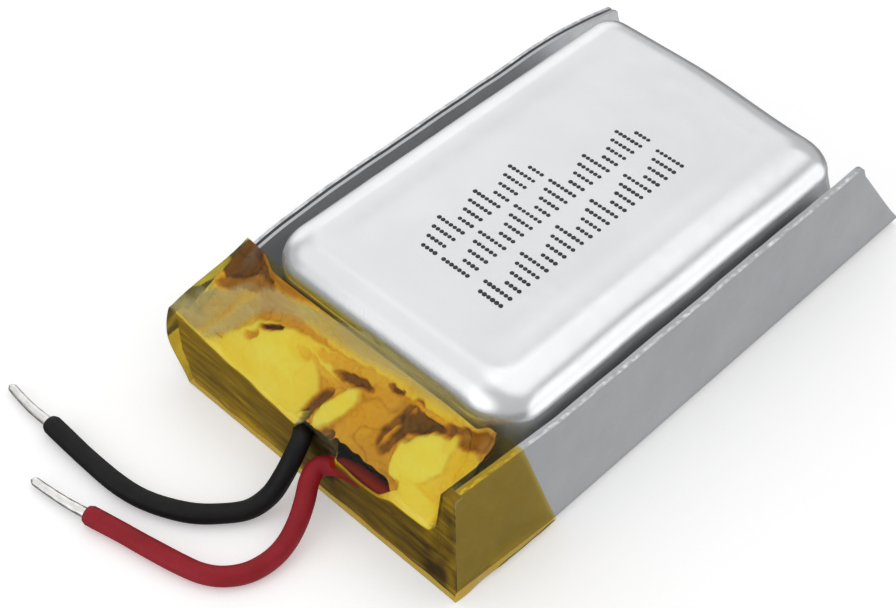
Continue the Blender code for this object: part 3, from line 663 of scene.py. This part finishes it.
GROOVE_DEPTH = 0.045 * MM  # of the shallow groove inside the rim of the cup's top
GROOVE_SLOPE = (0.20 * MM, 0.90 * MM)  # from the rim inwards
MIDDLE_RISE = 0.025 * MM  # how far the top comes up again towards its middle
MIDDLE_SLOPE = (0.90 * MM, 2.70 * MM)
CORNER_TIGHTENING = 0.6  # fall of the corner radius over the edge, per unit inwards
RING_GAP = 0.20 * MM
INNER_RADIUS = 1.80 * MM


def top_drop(distance):
    """How far the cup's top lies below its rim, at this distance inside the rim."""
    return GROOVE_DEPTH * fade(distance, *GROOVE_SLOPE) - MIDDLE_RISE * fade(distance, *MIDDLE_SLOPE)


def cup_profile():
    """Rings of the cup from its flat rim to the middle of its top: sides, corner radius, height rule."""
    foot = CUP_FOOT_RADIUS
    x0, x1, y0, y1 = CUP_BASE
    rim = ((x0 - SEAL_FOOT) / 2, (x1 + SEAL_FOOT) / 2, y0 - 2 * foot, y1 + 2 * foot)
    rings = [(rim, 0.10 * MM, lambda base: base)]
    for angle in (0, 30, 60, 90):
        out = foot * (1 - math.sin(math.radians(angle)))
        rise = foot * (1 - math.cos(math.radians(angle)))
        rings.append((inset(CUP_BASE, -out), CUP_CORNER_RADIUS + out, lambda base, rise=rise: base + rise))
    shoulder = TOP - CUP_EDGE_RADIUS
    wall_foot = BACK_FACE + 2 * LAYER + foot
    wall_steps, edge_steps, top_steps = 8, 12, 14
    for step in range(1, wall_steps):
        share = step / wall_steps
        sides = tuple(mix(a, b, share) for a, b in zip(CUP_BASE, CUP_SHOULDER))
        rings.append((sides, CUP_CORNER_RADIUS, lambda base, z=mix(wall_foot, shoulder, share): z))
    for step in range(edge_steps + 1):
        angle = math.radians(90 * step / edge_steps)
        distance = CUP_EDGE_RADIUS * (1 - math.cos(angle))
        level = shoulder + CUP_EDGE_RADIUS * math.sin(angle)
        radius = CUP_CORNER_RADIUS - CORNER_TIGHTENING * distance
        rings.append((inset(CUP_SHOULDER, distance), radius, lambda base, level=level: level))
    rim_radius = CUP_CORNER_RADIUS - CORNER_TIGHTENING * CUP_EDGE_RADIUS
    for step in range(1, top_steps + 1):
        distance = step * RING_GAP
        radius = mix(rim_radius, INNER_RADIUS, smoothstep(step / top_steps))
        sides = inset(CUP_SHOULDER, CUP_EDGE_RADIUS + distance)
        rings.append((sides, radius, lambda base, drop=top_drop(distance): TOP - drop))
    return rings


WALL_WAVE = 0.045 * MM
TOP_WAVE = 0.012 * MM


def settle(point):
    """Small unevenness of the drawn laminate: long waves on the walls, faint ones on the top."""
    above = fade(point.z, 0.6 * MM, 2.1 * MM)
    wall = WALL_WAVE * ripple(point, 3.2 * MM, 5) * above * fade(point.z, TOP, TOP - 0.8 * MM)
    outward = Vector((point.x, point.y * 0.5, 0)).normalized()
    flat = TOP_WAVE * (ripple(point, 4.5 * MM, 9) - 0.6) * above  # mostly below the nominal top
    return point + outward * wall + Vector((0, 0, flat))


def make_cup_skin(laminate, edge):
    """The drawn half: the cup, its flat rim, the terrace and the inner layer of both side seals."""
    bm = bmesh.new()
    rim_level = BACK_FACE + 2 * LAYER
    outline = rounded_rectangle((-SEAL_FOOT, SEAL_FOOT, TERRACE_NEAR, FAR), 0.02 * MM)
    rings = []
    ring = []
    for point in outline:
        y = min(point.y, fold_edge(point.x) - LAYER)
        ring.append(bm.verts.new((point.x, y, rim_level + terrace_lift(point.x, y))))
    rings.append(ring)
    for sides, radius, height in cup_profile():
        ring = []
        for point in rounded_rectangle(sides, radius):
            base = rim_level + terrace_lift(point.x, point.y)
            skewed = skew_far_edge(Vector((point.x, point.y, height(base))))
            ring.append(bm.verts.new(settle(skewed)))
        rings.append(ring)
    bridge_all(bm, rings, closed=True)
    bm.faces.new(rings[-1])
    for side in (-1, 1):
        foot = [vert for vert in rings[0] if abs(vert.co.x - side * SEAL_FOOT) < 0.001 * MM]
        raise_seal(bm, sorted(foot, key=lambda vert: vert.co.y), side, 2 * LAYER)
    spread_right_side(bm)
    turn_sheet(bm, highest=True)
    skin = finish_mesh("pouch_cup_skin", bm, laminate, ["pouch_cup_half"])
    thicken(skin, LAYER, edge)


def print_dot(bm, x, y):
    """One round ink dot on the cup's top."""
    low_x, high_x, _, _ = inset(CUP_SHOULDER, CUP_EDGE_RADIUS)
    place = settle(Vector((x, y, TOP - top_drop(min(x - low_x, high_x - x)))))
    size = DOT * (1 + 0.15 * ripple(place, 0.2 * MM, 3))
    above = Vector((0, 0, INK_ABOVE))
    corners = [place + on_circle(0, 0, size, 36 * step) + above for step in range(10)]
    bm.faces.new([bm.verts.new(corner) for corner in corners])


def make_print(ink):
    """Rows of small ink dots on the cup's top, in plain bars of four to seven dots."""
    bm = bmesh.new()
    for row, (row_x, first_y, bars) in enumerate(PRINT_ROWS):
        for bar in range(bars):
            for dot in range(4 + (5 * bar + 3 * row) % 4):
                print_dot(bm, row_x + (3 - dot) * DOT_PITCH, first_y + bar * BAR_PITCH)
    mark = finish_mesh("printed_code", bm, ink, [], smooth_angle=None)
    dots = mark.modifiers.new("Ink thickness", "SOLIDIFY")
    dots.thickness = INK_THICKNESS


# Header tape


TOP_ROWS = 32
FRONT_ROWS = 16


def sheet_point(x, share):
    """A point of the wrap's top sheet: share runs from its far edge, at 0, to the front edge, at 1."""
    _, far_y, far_z, front_z = between(TAPE_STATIONS, x)
    on_cup = fade(abs(x - 0.2), 5.3, 4.7)
    leave_y = far_y - 0.10 * on_cup  # where it leaves the cup's edge
    leave_z = far_z - 0.42 * on_cup
    if share < STUCK:
        part = share / STUCK
        return Vector((x, mix(far_y, leave_y, part), mix(far_z, leave_z, part)))
    part = (share - STUCK) / (1 - STUCK)
    sag = 0.08 * math.sin(math.pi * part) * on_cup
    return Vector((x, mix(leave_y, FRONT / MM, part), mix(leave_z, front_z, part) + sag))


def painted_reflection_at(point):
    """How strong the painted reflection on the wrap is at this point, in mm: sharp at its far edge and soft
    at its near one.
    """
    if point.z < 0.1 or point.y < FRONT / MM + 0.01:
        return 0.0
    _, near_y, far_y, amount = between(PAINTED_REFLECTION_STATIONS, point.x)
    y = point.y + 0.05 * ripple(point, 0.5, 41)
    edges = fade(y, near_y, near_y + 0.30) * fade(y, far_y, far_y - 0.07)
    from_streak = abs(point.x + 4.6 - (point.y + 10.3) * 0.55)  # a slanting line where the painted reflection thins out
    return amount * edges * (1 - 0.7 * fade(from_streak, 0.24, 0.0))


SINGLE, DOUBLED, FOLDED = range(3)  # the wrap's materials, by how many layers of film lie there


def end_offset(side, y, z):
    """How far an end of the wrap stands out from the seal here, in mm."""
    if side < 0:
        bulge = LEFT_BULGE * math.sin(math.pi * min(1.0, z / 3.6))
        return (LOOSE_CORNER * fade(z, 0.0, 1.8) + bulge) * fade(y, -9.0, FRONT / MM)
    wave = math.sin(math.pi * min(1.0, max(0.0, (y - FRONT / MM) / 4.6)))
    wave *= 1 + 0.5 * ripple(Vector((0, y, z)), 0.9, 13)
    tucked = RIGHT_TUCK * fade(z, 0.35, 0.0) * fade(y, -12.2, -10.2)
    return RIGHT_BULGE * wave * fade(z, 1.6, 0.2) - tucked


def end_x(side, y, z):
    """The x of an end of the wrap at this place, in mm: on the seal at its foot, leaning in or out above."""
    edge = abs(TAPE_STATIONS[0 if side < 0 else -1][0])
    return side * (mix(TAPE_FACE / MM, edge, min(1.0, z / 5.0)) + end_offset(side, y, z))


def tape_lines():
    """The x of each column of vertices across the wrap."""
    stations = [station[0] for station in TAPE_STATIONS]
    lines = [stations[0]]
    spacing = 0.13
    for first, second in zip(stations, stations[1:]):
        steps = max(1, round((second - first) / spacing))
        lines += [mix(first, second, step / steps) for step in range(1, steps + 1)]
    return lines


def tape_column(x, from_end):
    """Points down the wrap's top sheet, down its front and back along its underside."""
    front, far_bottom = FRONT / MM, TAPE_FAR_BOTTOM / MM
    points = [sheet_point(x, row / TOP_ROWS) for row in range(TOP_ROWS + 1)]
    front_z = points[-1].z
    points += [Vector((x, front, front_z * (1 - row / FRONT_ROWS))) for row in range(1, FRONT_ROWS + 1)]
    points += [Vector((x, mix(front, far_bottom, row / TOP_ROWS), 0.0)) for row in range(1, TOP_ROWS + 1)]
    for point in points:
        if from_end == 0:
            point.x = end_x(math.copysign(1, x), point.y, point.z)
        loose = min(1.0, from_end / 0.5) * (0.03 if point.z > 0.1 else 0.0)
        point += SHEET_NORMAL * loose * ripple(point, 1.3, 11)
    return points


def make_outer_tape(single, doubled, folded):
    """The wrap over the header: top sheet, front, underside and ends, open towards the cell."""
    bm = bmesh.new()
    lines = tape_lines()
    columns = []
    painted_reflection = []
    for x in lines:
        points = tape_column(x, min(x - lines[0], lines[-1] - x))
        painted_reflection += [painted_reflection_at(point) for point in points]
        columns.append([bm.verts.new(point * MM) for point in points])
    slot_rows = range(TOP_ROWS - SLOT_ROWS[0], TOP_ROWS + SLOT_ROWS[1])
    for x0, x1, first, second in zip(lines, lines[1:], columns, columns[1:]):
        in_slot = SLOT[0] < (x0 + x1) / 2 < SLOT[1]
        for row in range(len(first) - 1):
            if in_slot and row in slot_rows:
                continue
            face = bm.faces.new((first[row], second[row], second[row + 1], first[row + 1]))
            face.material_index = SINGLE if row < TOP_ROWS and x0 < DOUBLED_FROM else DOUBLED
    for column in (columns[0], columns[-1]):
        painted_reflection += fill_end(bm, column)
    spread_right_side(bm)
    bmesh.ops.recalc_face_normals(bm, faces=bm.faces)
    tape = finish_mesh("header_outer_tape", bm, single, ["header_tape"], smooth_angle=30)
    tape.data.materials.append(doubled)
    tape.data.materials.append(folded)
    set_attribute(tape, "painted_reflection", painted_reflection)
    bevel = tape.modifiers.new("Soft folds", "BEVEL")
    bevel.width = 0.05 * MM
    bevel.segments = 3
    bevel.limit_method = "ANGLE"
    bevel.angle_limit = math.radians(38)


def fill_end(bm, column):
    """Fills an end of the wrap between its top, front and bottom edges; gives the new painted reflection
    values.
    """
    side = math.copysign(1, column[0].co.x)
    top = column[:TOP_ROWS + 1][::-1]
    front = column[TOP_ROWS:TOP_ROWS + FRONT_ROWS + 1]
    bottom = column[TOP_ROWS + FRONT_ROWS:]
    grid = [front]
    for i in range(1, TOP_ROWS + 1):
        line = [top[i]]
        for j in range(1, FRONT_ROWS):
            point = top[i].co.lerp(bottom[i].co, j / FRONT_ROWS)
            point.x = end_x(side, point.y / MM, point.z / MM) * MM
            line.append(bm.verts.new(point))
        line.append(bottom[i])
        grid.append(line)
    for first, second in zip(grid, grid[1:]):
        for j in range(FRONT_ROWS):
            face = bm.faces.new((first[j], first[j + 1], second[j + 1], second[j]))
            face.material_index = FOLDED if side < 0 else DOUBLED
    return [0.0] * (TOP_ROWS * (FRONT_ROWS - 1))


def patch_reach(x, y, patch):
    """0 in the middle of a patch and 1 on its outline, between an ellipse and a rectangle."""
    cx, cy, half_x, half_y, turn, _ = patch
    angle = math.radians(turn)
    squareness = 2.6
    dx, dy = x - cx, y - cy
    across = (dx * math.cos(angle) + dy * math.sin(angle)) / half_x
    along = (-dx * math.sin(angle) + dy * math.cos(angle)) / half_y
    return (abs(across) ** squareness + abs(along) ** squareness) ** (1 / squareness)


def tone_at(x, y):
    """How close the inner tape lies under the wrap at x, y in mm, from 0, deep, to 1, stuck to it; the
    material paints shade from it, darker the lower it is.
    """
    place = Vector((x, y, 0))
    x += 0.10 * ripple(place, 0.42, 51) + 0.05 * ripple(place, 0.17, 52)
    y += 0.08 * ripple(place, 0.42, 53) + 0.04 * ripple(place, 0.17, 54)
    tone = 0.50
    for patch in PATCHES:
        reach = patch_reach(x, y, patch)
        if reach < 1.1:
            soft = 0.10 / min(patch[2], patch[3])  # a soft outline 0.1 mm wide
            tone = mix(tone, patch[5], fade(reach, 1 + soft / 2, 1 - soft / 2))
    # Painted shade along crease lines: the tone drops there, which darkens the colour.
    crease = 1 - min(1.0, abs(ripple(place, 0.75, 55)) / 0.07)
    fine_crease = 1 - min(1.0, abs(ripple(place, 0.36, 56)) / 0.06)
    creased = 0.11 * crease + 0.08 * fine_crease
    return min(1.0, max(0.0, tone - creased * mix(0.35, 1.0, fade(tone, 0.95, 0.55))))


def lead_window(x):
    """1 where the red lead shows between the inner tape and the front layers, in mm, and 0 beside that."""
    return fade(x, 0.4, 0.8) * fade(x, 3.7, 2.9)


def inner_tape_front(x):
    """Share of the top sheet where the inner tape ends: short of the slot, and of the red lead."""
    past_slot = 0.05 * fade(abs(x + 0.1), 1.0, 0.7)
    past_lead = (0.10 + 0.03 * ripple(Vector((x, 0, 0)), 0.4, 61)) * lead_window(x)
    return 0.985 - past_slot - past_lead


def inner_tape_column(x, rows=84):
    """Points down the inner tape, each with its tone."""
    column = []
    for row in range(rows + 1):
        share = mix(STUCK + 0.005, inner_tape_front(x), row / rows)
        on_sheet = sheet_point(x, share)
        tone = tone_at(x, on_sheet.y)
        room = fade(share, STUCK, STUCK + 0.12) * fade(x, -6.1, -5.5)
        depth = LEAST_GAP + CREASE_DEPTH * (1 - tone) * room
        column.append((on_sheet - SHEET_NORMAL * depth, tone))
    return column


def make_toned_sheet(name, column_at, sides, steps, material_used, replaced):
    """A sheet of columns of points in mm from side to side, each point with a tone for the material."""
    columns = [column_at(mix(*sides, step / steps)) for step in range(steps + 1)]
    bm = bmesh.new()
    bridge_all(bm, [[bm.verts.new(point * MM) for point, _ in column] for column in columns])
    bmesh.ops.recalc_face_normals(bm, faces=bm.faces)
    sheet = finish_mesh(name, bm, material_used, replaced, smooth_angle=None)
    set_attribute(sheet, "tone", [tone for column in columns for _, tone in column])


def by_leads(x):
    """1 where the front layers give way to the leads, in mm, and 0 beside that."""
    return fade(abs(x - 0.02), 0.95, 0.70)


def apron_tone(x, z, rise):
    """How light the front layers are here, from 0 to 1, with painted shade in the hole at the leads and low
    on the right corner; rise runs from their foot, 0, to the lip, past 1.
    """
    tone = 0.50 + 0.12 * fade(rise, 0.25, 0.05) - 0.21 * fade(x, -4.0, 2.0)
    tone = mix(tone, 0.95, fade(rise, 0.95, 1.0) * fade(x, LIP_END, LIP_END - 0.3))
    # Painted shade in the hole where the layers give way to the leads.
    tone = mix(tone, 0.05, by_leads(x) * fade(rise, 0.35, 0.55))
    # Painted shade low down on the right corner, mixed with a random crumple.
    dark = fade(z, 1.7, 0.9) * fade(x, 6.3, 5.9)
    crumple_and_shade = 0.36 - 0.30 * dark + 0.3 * ripple(Vector((x, 0, z)), 0.5, 33)
    on_corner = fade(x, 4.7, 5.4) if rise < 0.95 or x > LIP_END else 0.0
    return mix(tone, crumple_and_shade, on_corner)


def apron_column(x, rows=26, lip_rows=6):
    """Points up the front layers and over their pale lip, which folds in under the top sheet."""
    top = between(TAPE_STATIONS, x)[3] - 0.07 - LIP_RISE * lead_window(x)
    lip_height = LIP_RISE * fade(x, -6.2, -4.6) * fade(x, LIP_END, LIP_END - 0.4) * (1 - lead_window(x))
    lip_depth = mix(LIP_DEPTH, 0.06, lead_window(x))
    column = []
    for row in range(rows + lip_rows + 1):
        lip = max(0, row - rows) / lip_rows
        z = mix(0.12, top, min(1.0, row / rows)) + lip_height * lip
        fold = 0.05 * ripple(Vector((x * 0.35, 0, z)), 0.35, 31) * fade(x, 6.1, 5.8)
        back = APRON_GAP + HOLE_DEPTH * by_leads(x) * fade(z, 0.9, 1.4) + lip_depth * lip
        loose = 0.45 * fade(z, 0.0, 1.8) * max(0.0, -x - 5.4)
        column.append((Vector((x - loose, FRONT / MM + fold + back, z)), apron_tone(x, z, row / rows)))
    return column


# Leads


def make_tube(name, route, radius_at, material_used, replaced, sides=32, spacing=0.12):
    """A round tube along a route in millimetres; radius_at gives its radius from the distance and angle."""
    points = catmull_rom(route, spacing)
    bm = bmesh.new()
    length = sum((b - a).length for a, b in zip(points, points[1:]))
    travelled = 0.0
    rings = []
    side = None
    for index, point in enumerate(points):
        before = points[max(index - 1, 0)]
        after = points[min(index + 1, len(points) - 1)]
        along = (after - before).normalized()
        if index:
            travelled += (point - points[index - 1]).length
        side = (side - along * side.dot(along)) if side else along.cross(Vector((0, 0, 1)))
        side.normalize()
        up = along.cross(side)
        ring = []
        for step in range(sides):
            angle = 2 * math.pi * step / sides
            flat_side, flat_up = radius_at(travelled, length, angle)
            offset = side * math.cos(angle) * flat_side + up * math.sin(angle) * flat_up
            ring.append(bm.verts.new((point + offset) * MM))
        rings.append(ring)
    bridge_all(bm, rings, closed=True)
    for ring in (rings[0], rings[-1]):
        bm.faces.new(ring)
    bmesh.ops.recalc_face_normals(bm, faces=bm.faces)
    finish_mesh(name, bm, material_used, replaced, smooth_angle=50)


def insulation_radius(travelled, length, angle):
    """Round insulation, a little uneven, with its cut ends slightly rounded."""
    from_end = min(travelled, length - travelled)
    radius = LEAD_DIAMETER / 2 / MM - 0.05 * fade(from_end, 0.14, 0.0)
    radius *= 1 + 0.012 * math.sin(travelled * 2.1 + 0.8)
    return radius, radius


def tinned_radius(travelled, length, angle):
    """Twisted strands filled with solder: shallow ridges that wind round, tapering to the tip."""
    share = travelled / length
    radius = CONDUCTOR_DIAMETER / 2 / MM * mix(1.05, 0.90, smoothstep(share))
    radius *= 1 - 0.5 * fade(share, 0.93, 1.0) ** 2
    ridges = abs(math.cos(STRANDS / 2 * (angle + travelled * 1.4)))
    radius *= 0.95 + 0.05 * ridges * (1 - 0.7 * share)
    return radius * 1.10, radius * 0.90


def make_leads(black, red, tinned):
    make_tube("black_lead_insulation", BLACK_ROUTE, insulation_radius, black, ["black_lead"])
    make_tube("red_lead_insulation", RED_ROUTE, insulation_radius, red, ["red_lead"])
    make_tube("black_lead_strands", BLACK_TIP, tinned_radius, tinned, ["black_lead_tinned_end"], 42, 0.05)
    make_tube("red_lead_strands", RED_TIP, tinned_radius, tinned, ["red_lead_tinned_end"], 42, 0.05)


# Inner parts that keep their CAD shape


# For each of the record's slots: name, light and dark colour, roughness, metallic, grain and bump in mm,
# and how far the grain is stretched.
INNER_MATERIALS = {
    "graphite": ("graphite_coat", (0.07, 0.07, 0.08), (0.03, 0.03, 0.035), 0.7, 0, 0.08, 0.01),
    "cathode_coat": ("oxide_coat", (0.12, 0.11, 0.13), (0.06, 0.05, 0.06), 0.7, 0, 0.06, 0.01),
    "separator": ("separator_film", (0.90, 0.90, 0.88), (0.78, 0.78, 0.76), 0.55, 0, 0.05, 0.005),
    "green_tape": ("end_tape", (0.12, 0.45, 0.24), (0.07, 0.32, 0.16), 0.4, 0, 0.3, 0.004),
    "aluminium": ("aluminium_strip", (0.84, 0.84, 0.86), (0.70, 0.70, 0.72), 0.32, 1, 0.10, 0.006, (1, 6, 6)),
    "nickel": ("nickel_strip", (0.66, 0.63, 0.58), (0.50, 0.47, 0.43), 0.34, 1, 0.10, 0.006, (1, 6, 6)),
    "sealant": ("hot_melt", (0.80, 0.77, 0.66), (0.66, 0.62, 0.50), 0.5, 0, 0.2, 0.01),
    "paper": ("insulating_paper", (0.50, 0.57, 0.47), (0.36, 0.43, 0.33), 0.85, 0, 0.05, 0.012),
    "board": ("solder_mask", (0.06, 0.26, 0.12), (0.03, 0.15, 0.07), 0.38, 0, 0.35, 0.008),
    "package": ("moulded_epoxy", (0.05, 0.05, 0.05), (0.02, 0.02, 0.02), 0.6, 0, 0.04, 0.01),
    "ceramic": ("fired_ceramic", (0.52, 0.38, 0.26), (0.38, 0.26, 0.17), 0.5, 0, 0.05, 0.01),
    "solder": ("solder_dome", (0.78, 0.78, 0.78), (0.60, 0.60, 0.61), 0.24, 1, 0.15, 0.01),
}


def dress_cad_nodes():
    """Gives every CAD node that stays a worked material of its own kind."""
    kinds = {slot: worked_material(*values) for slot, values in INNER_MATERIALS.items()}
    for entry in frame["record"]["subparts"]:
        kind = kinds.get(entry["material_slot"])
        if kind:
            for slot in frame["nodes"][entry["node"]].material_slots:
                slot.material = kind


# Studio


def make_camera():
    camera = bpy.data.objects.new("camera", bpy.data.cameras.new("camera"))
    bpy.context.scene.collection.objects.link(camera)
    azimuth, elevation = math.radians(AZIMUTH), math.radians(ELEVATION)
    back = Vector((math.sin(azimuth) * math.cos(elevation), -math.cos(azimuth) * math.cos(elevation),
                   math.sin(elevation)))
    camera.location = AIM + back * DISTANCE
    camera.rotation_euler = (math.pi / 2 - elevation, 0, azimuth)
    camera.data.lens = LENS
    camera.data.clip_start = 1 * MM
    camera.data.clip_end = 10
    bpy.context.scene.camera = camera


FLOOR_GLOW = 0.27  # the paper is lit from below as well
FLOOR_HALF = 1.2  # m


def make_floor():
    bm = bmesh.new()
    bmesh.ops.create_grid(bm, x_segments=1, y_segments=1, size=FLOOR_HALF)
    mesh = bpy.data.meshes.new("floor")
    bm.to_mesh(mesh)
    bm.free()
    floor = bpy.data.objects.new("floor", mesh)
    made, nodes = material("floor_paper")
    colour = nodes.ramp(nodes.noise(40.0, 3.0), [(0.3, 0.90), (0.7, 0.93)])
    paper = nodes.add("BsdfDiffuse", Color=colour)
    glow = nodes.add("Emission", Color=(1, 1, 1, 1), Strength=FLOOR_GLOW)
    both = nodes.add("AddShader")
    nodes.feed(both.inputs[0], paper.outputs[0])
    nodes.feed(both.inputs[1], glow.outputs[0])
    nodes.output(both.outputs[0])
    mesh.materials.append(made)
    floor.visible_glossy = False
    bpy.context.scene.collection.objects.link(floor)


# Soft lights and dark cards round the cell: direction, half angle of the even part, soft edge, strength.
SOFT_LIGHTS = [
    ((-0.47, 0.48, 0.74), 10, 16, 0.40),
    ((-0.88, 0.46, 0.12), 20, 16, 0.60),
    ((0.20, 0.28, 0.94), 22, 16, 0.62),
    ((-0.47, -0.30, 0.83), 22, 14, 0.40),
    ((-0.06, -0.93, 0.35), 9, 28, 0.95),
    ((0.86, 0.48, -0.08), 20, 18, 0.80),
    ((-0.32, 0.49, 0.81), 3, 7, -0.22),
    ((0.50, 0.45, -0.74), 30, 25, 0.29),
]


def make_light():
    """A soft dome, dim below the horizon, with broad soft lights in it."""
    world = bpy.data.worlds.new("studio")
    bpy.context.scene.world = world
    nodes = Nodes(world)
    direction = nodes.add("TexCoord").outputs["Generated"]
    height = nodes.add("SeparateXYZ", Vector=direction).outputs["Z"]
    level = nodes.ramp(nodes.math("MULTIPLY_ADD", height, 0.5, 0.5),
                       [(0.0, 0.16), (0.47, 0.18), (0.54, 0.44), (1.0, 0.50)])
    total = level
    for towards, core, edge, strength in SOFT_LIGHTS:
        aim = Vector(towards).normalized()
        dot = nodes.add("VectorMath", {"operation": "DOT_PRODUCT"})
        nodes.feed(dot.inputs[0], direction)
        nodes.feed(dot.inputs[1], aim)
        lobe = nodes.add("MapRange", {"interpolation_type": "SMOOTHSTEP"}, Value=dot.outputs["Value"],
                         From_Min=math.cos(math.radians(core + edge)), From_Max=math.cos(math.radians(core)),
                         To_Min=0.0, To_Max=strength)
        total = nodes.math("ADD", total, lobe.outputs[0])
    background = nodes.add("Background", Color=(1, 1, 1, 1), Strength=total)
    nodes.add("OutputWorld", Surface=background.outputs[0])
    bpy.context.scene.view_settings.view_transform = "Standard"


def main():
    make_camera()
    make_floor()
    make_light()
    cup_laminate = laminate_material(
        "cup_laminate", (0.90, 0.91, 0.92), (0.86, 0.87, 0.885), roughness=0.22, metallic=0.78, grain=0.003)
    # Painted shade: the back and the side seals are the same laminate as the cup, in a darker copy for the
    # dimmer side flanges.
    shaded_seal_laminate = laminate_material(
        "shaded_seal_laminate", (0.56, 0.57, 0.59), (0.51, 0.52, 0.54), roughness=0.45, metallic=0.70, grain=0.005)
    edge = cut_edge_material()
    make_back_skin(shaded_seal_laminate, edge)
    make_cup_skin(cup_laminate, shaded_seal_laminate)
    make_print(ink_material())
    # Colours of the painted reflection's pale veil on the wrap.
    pale_reflection = [(0.3, (0.42, 0.37, 0.16)), (0.7, (0.56, 0.49, 0.23))]
    deep_reflection = [(0.3, (0.30, 0.25, 0.10)), (0.7, (0.40, 0.34, 0.15))]
    make_outer_tape(
        amber_film_material("amber_film", (1.0, 0.95, 0.50), (1.0, 0.91, 0.38), pale_reflection),
        amber_film_material("amber_film_doubled", (1.0, 0.83, 0.24), (0.98, 0.77, 0.17), deep_reflection),
        amber_film_material("amber_film_folded", (0.60, 0.52, 0.12), (0.46, 0.38, 0.08), deep_reflection),
    )
    make_toned_sheet("header_inner_tape", inner_tape_column, INNER_TAPE_SIDES, 270,
                     crumpled_tape_material(), ["board_tape"])
    make_toned_sheet("header_front_layers", apron_column, APRON_SIDES, 120, apron_material(), [])
    make_leads(
        insulation_material("black_insulation", (0.0075, 0.0075, 0.008), (0.0045, 0.0045, 0.005)),
        insulation_material("red_insulation", (0.33, 0.012, 0.022), (0.26, 0.008, 0.016)),
        worked_material("tinned_strands", (0.94, 0.93, 0.91), (0.80, 0.79, 0.77), 0.26, 1.0, 0.30, 0.004),
    )
    dress_cad_nodes()


main()
